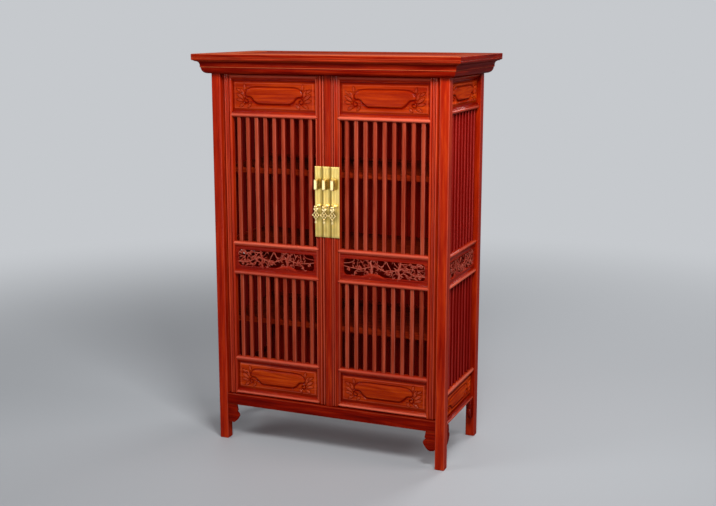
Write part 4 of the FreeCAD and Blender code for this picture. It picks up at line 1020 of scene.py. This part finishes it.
def turned_pin(x):
    """The stem's radius carried round an axis that runs out from the door."""
    out, radius = np.array(stem_profile, float).T[:, :, None]
    ring = circle(28)
    grid = np.stack([x + radius * ring[:, 0], np.repeat(door_face - out, len(ring), axis=1),
                     staple_level + radius * ring[:, 1]], -1)
    return grid.reshape(-1, 3), shell_faces(*grid.shape[:2]), 0.0


def flat_eye(x, radius, hole, half):
    """A ring on a crosswise axis: its section is a rounded rectangle from the hole to the outer edge, twice
    as thick as half."""
    eye = np.array([pin_depth, staple_level])
    profile = [(0, 0.7 - half), (0, half - 0.7), (0.2, half), (0.85, half), (1, half - 0.3), (1, 0.3 - half),
               (0.85, -half), (0.2, -half)]
    points, faces, hollow = framed(eye + radius * circle(32), eye + hole * circle(32), profile)
    return np.stack([x + points[:, 1], points[:, 0], points[:, 2]], -1), faces, hollow


for side, x in strips.items():
    add_piece(f"turned_{side}_staple", [turned_pin(x), flat_eye(x, 5.5, 2.1, 2.5)], bright_brass,
              carriers[side], "polished_brass", f"{side}_pendant_staple")


# Pendants: thin cast brass drops in the form of an endless knot under a cloud head, filed and polished, that
# hang from the staples by two ears and a pin.
knot_level, knot_pitch, knot_half, knot_stretch = 1016.3, 9.0, 15.1, 1.4
strip_half, strip_flat, weave_depth, loop_radius = 1.6, 1.2, 0.7, 2.2
head_corners = [(-3.6, 1034.1, 0), (3.6, 1034.1, 1.2), (10, 1040.1, 1.2), (5, 1044.1, -0.4),
                (0, 1042.6, -0.4), (-5, 1044.1, 1.2), (-10, 1040.1, 1.2)]
head_middle, head_hole = np.array([0, 1038.6]), 1.6
head_profile = [(0.08, -1.5), (0, -0.9), (0, 0.9), (0.08, 1.5), (0.9, 1.5), (1, 1.0), (1, -1.0), (0.9, -1.5),
                (0.5, -2.0)]
ear_place, ear_radius, ear_hole, ear_half, ear_foot = 4.4, 4.5, 1.9, 1.5, 1041.5
pin_half_length, pin_radius = 5.9, 2.0
bead_level, bead_radius, neck_level, drop_head, drop_foot, drop_half = 986.5, 5.0, 990.0, 998.5, 981.5, 1.6


def hung_line(along, level, weave=0.0):
    """A line in the pendants' plane, or out of it by the weave."""
    return np.stack(np.broadcast_arrays(along, pin_depth + weave, level), -1)


def wire(line, half, flat):
    """A wire of oval section along a line in the pendant's plane."""
    return grown(line, np.full(len(line), half), np.full(len(line), flat), circle(8))


def hanging_pendant(x):
    """The knot's six crossing strips weave over and under each other between two small loops; the head, the
    ears and the bead below are rounded plates."""
    shells = []
    along = np.linspace(-1, 1, 25) * (knot_pitch + 1.7)
    for turn in (1, -1):
        for step in (-1, 0, 1):
            offset = step * knot_pitch
            u = (along - turn * offset) / math.sqrt(2)
            z = knot_stretch * (turn * along + offset) / math.sqrt(2)
            weave = turn * (1 if step == 0 else -1) * weave_depth * np.cos(np.pi * along / knot_pitch)
            shells.append(wire(hung_line(x + u, knot_level + z, weave), strip_half, strip_flat))
    loop = loop_radius * on_circle(np.linspace(-2.2, 2.2, 18))
    for side in (-1, 1):
        place = knot_half - 1.4 + loop[:, 0]
        shells.append(wire(hung_line(x + side * place, knot_level + loop[:, 1]), 1.1, strip_flat))
    head = moulding(head_corners, 0.6, 8)
    ray = head - head_middle
    hole = head_middle + head_hole * ray / np.linalg.norm(ray, axis=1)[:, None]
    points, faces, hollow = framed(head + (x, 0), hole + (x, 0), head_profile)
    shells.append((points + (0, pin_depth, 0), faces, hollow))
    for side in (-1, 1):
        place = x + side * ear_place
        tail = hung_line(place, np.linspace(ear_foot, staple_level, 8))
        shells += [flat_eye(place, ear_radius, ear_hole, ear_half), wire(tail, ear_half, ear_half)]
    pin_section = pin_radius * circle(16) + (pin_depth, staple_level)
    points, faces, _ = carried(pin_section, 0, [(x - pin_half_length, 1), (x + pin_half_length, 1)])
    shells.append((points, faces, 0.0))
    level = np.linspace(drop_head, drop_foot, 26)
    bead = np.sqrt(np.clip(bead_radius ** 2 - (level - bead_level) ** 2, 0.1, None))
    radius = np.maximum(drop_half * (level > neck_level), bead)
    shells.append(grown(hung_line(x, level), radius, np.minimum(radius, drop_half), round_section))
    return shells


for side, x in strips.items():
    add_piece(f"knotted_{side}_pendant", hanging_pendant(x), bright_brass, side + "_pendant",
              "polished_brass", f"{side}_pendant")
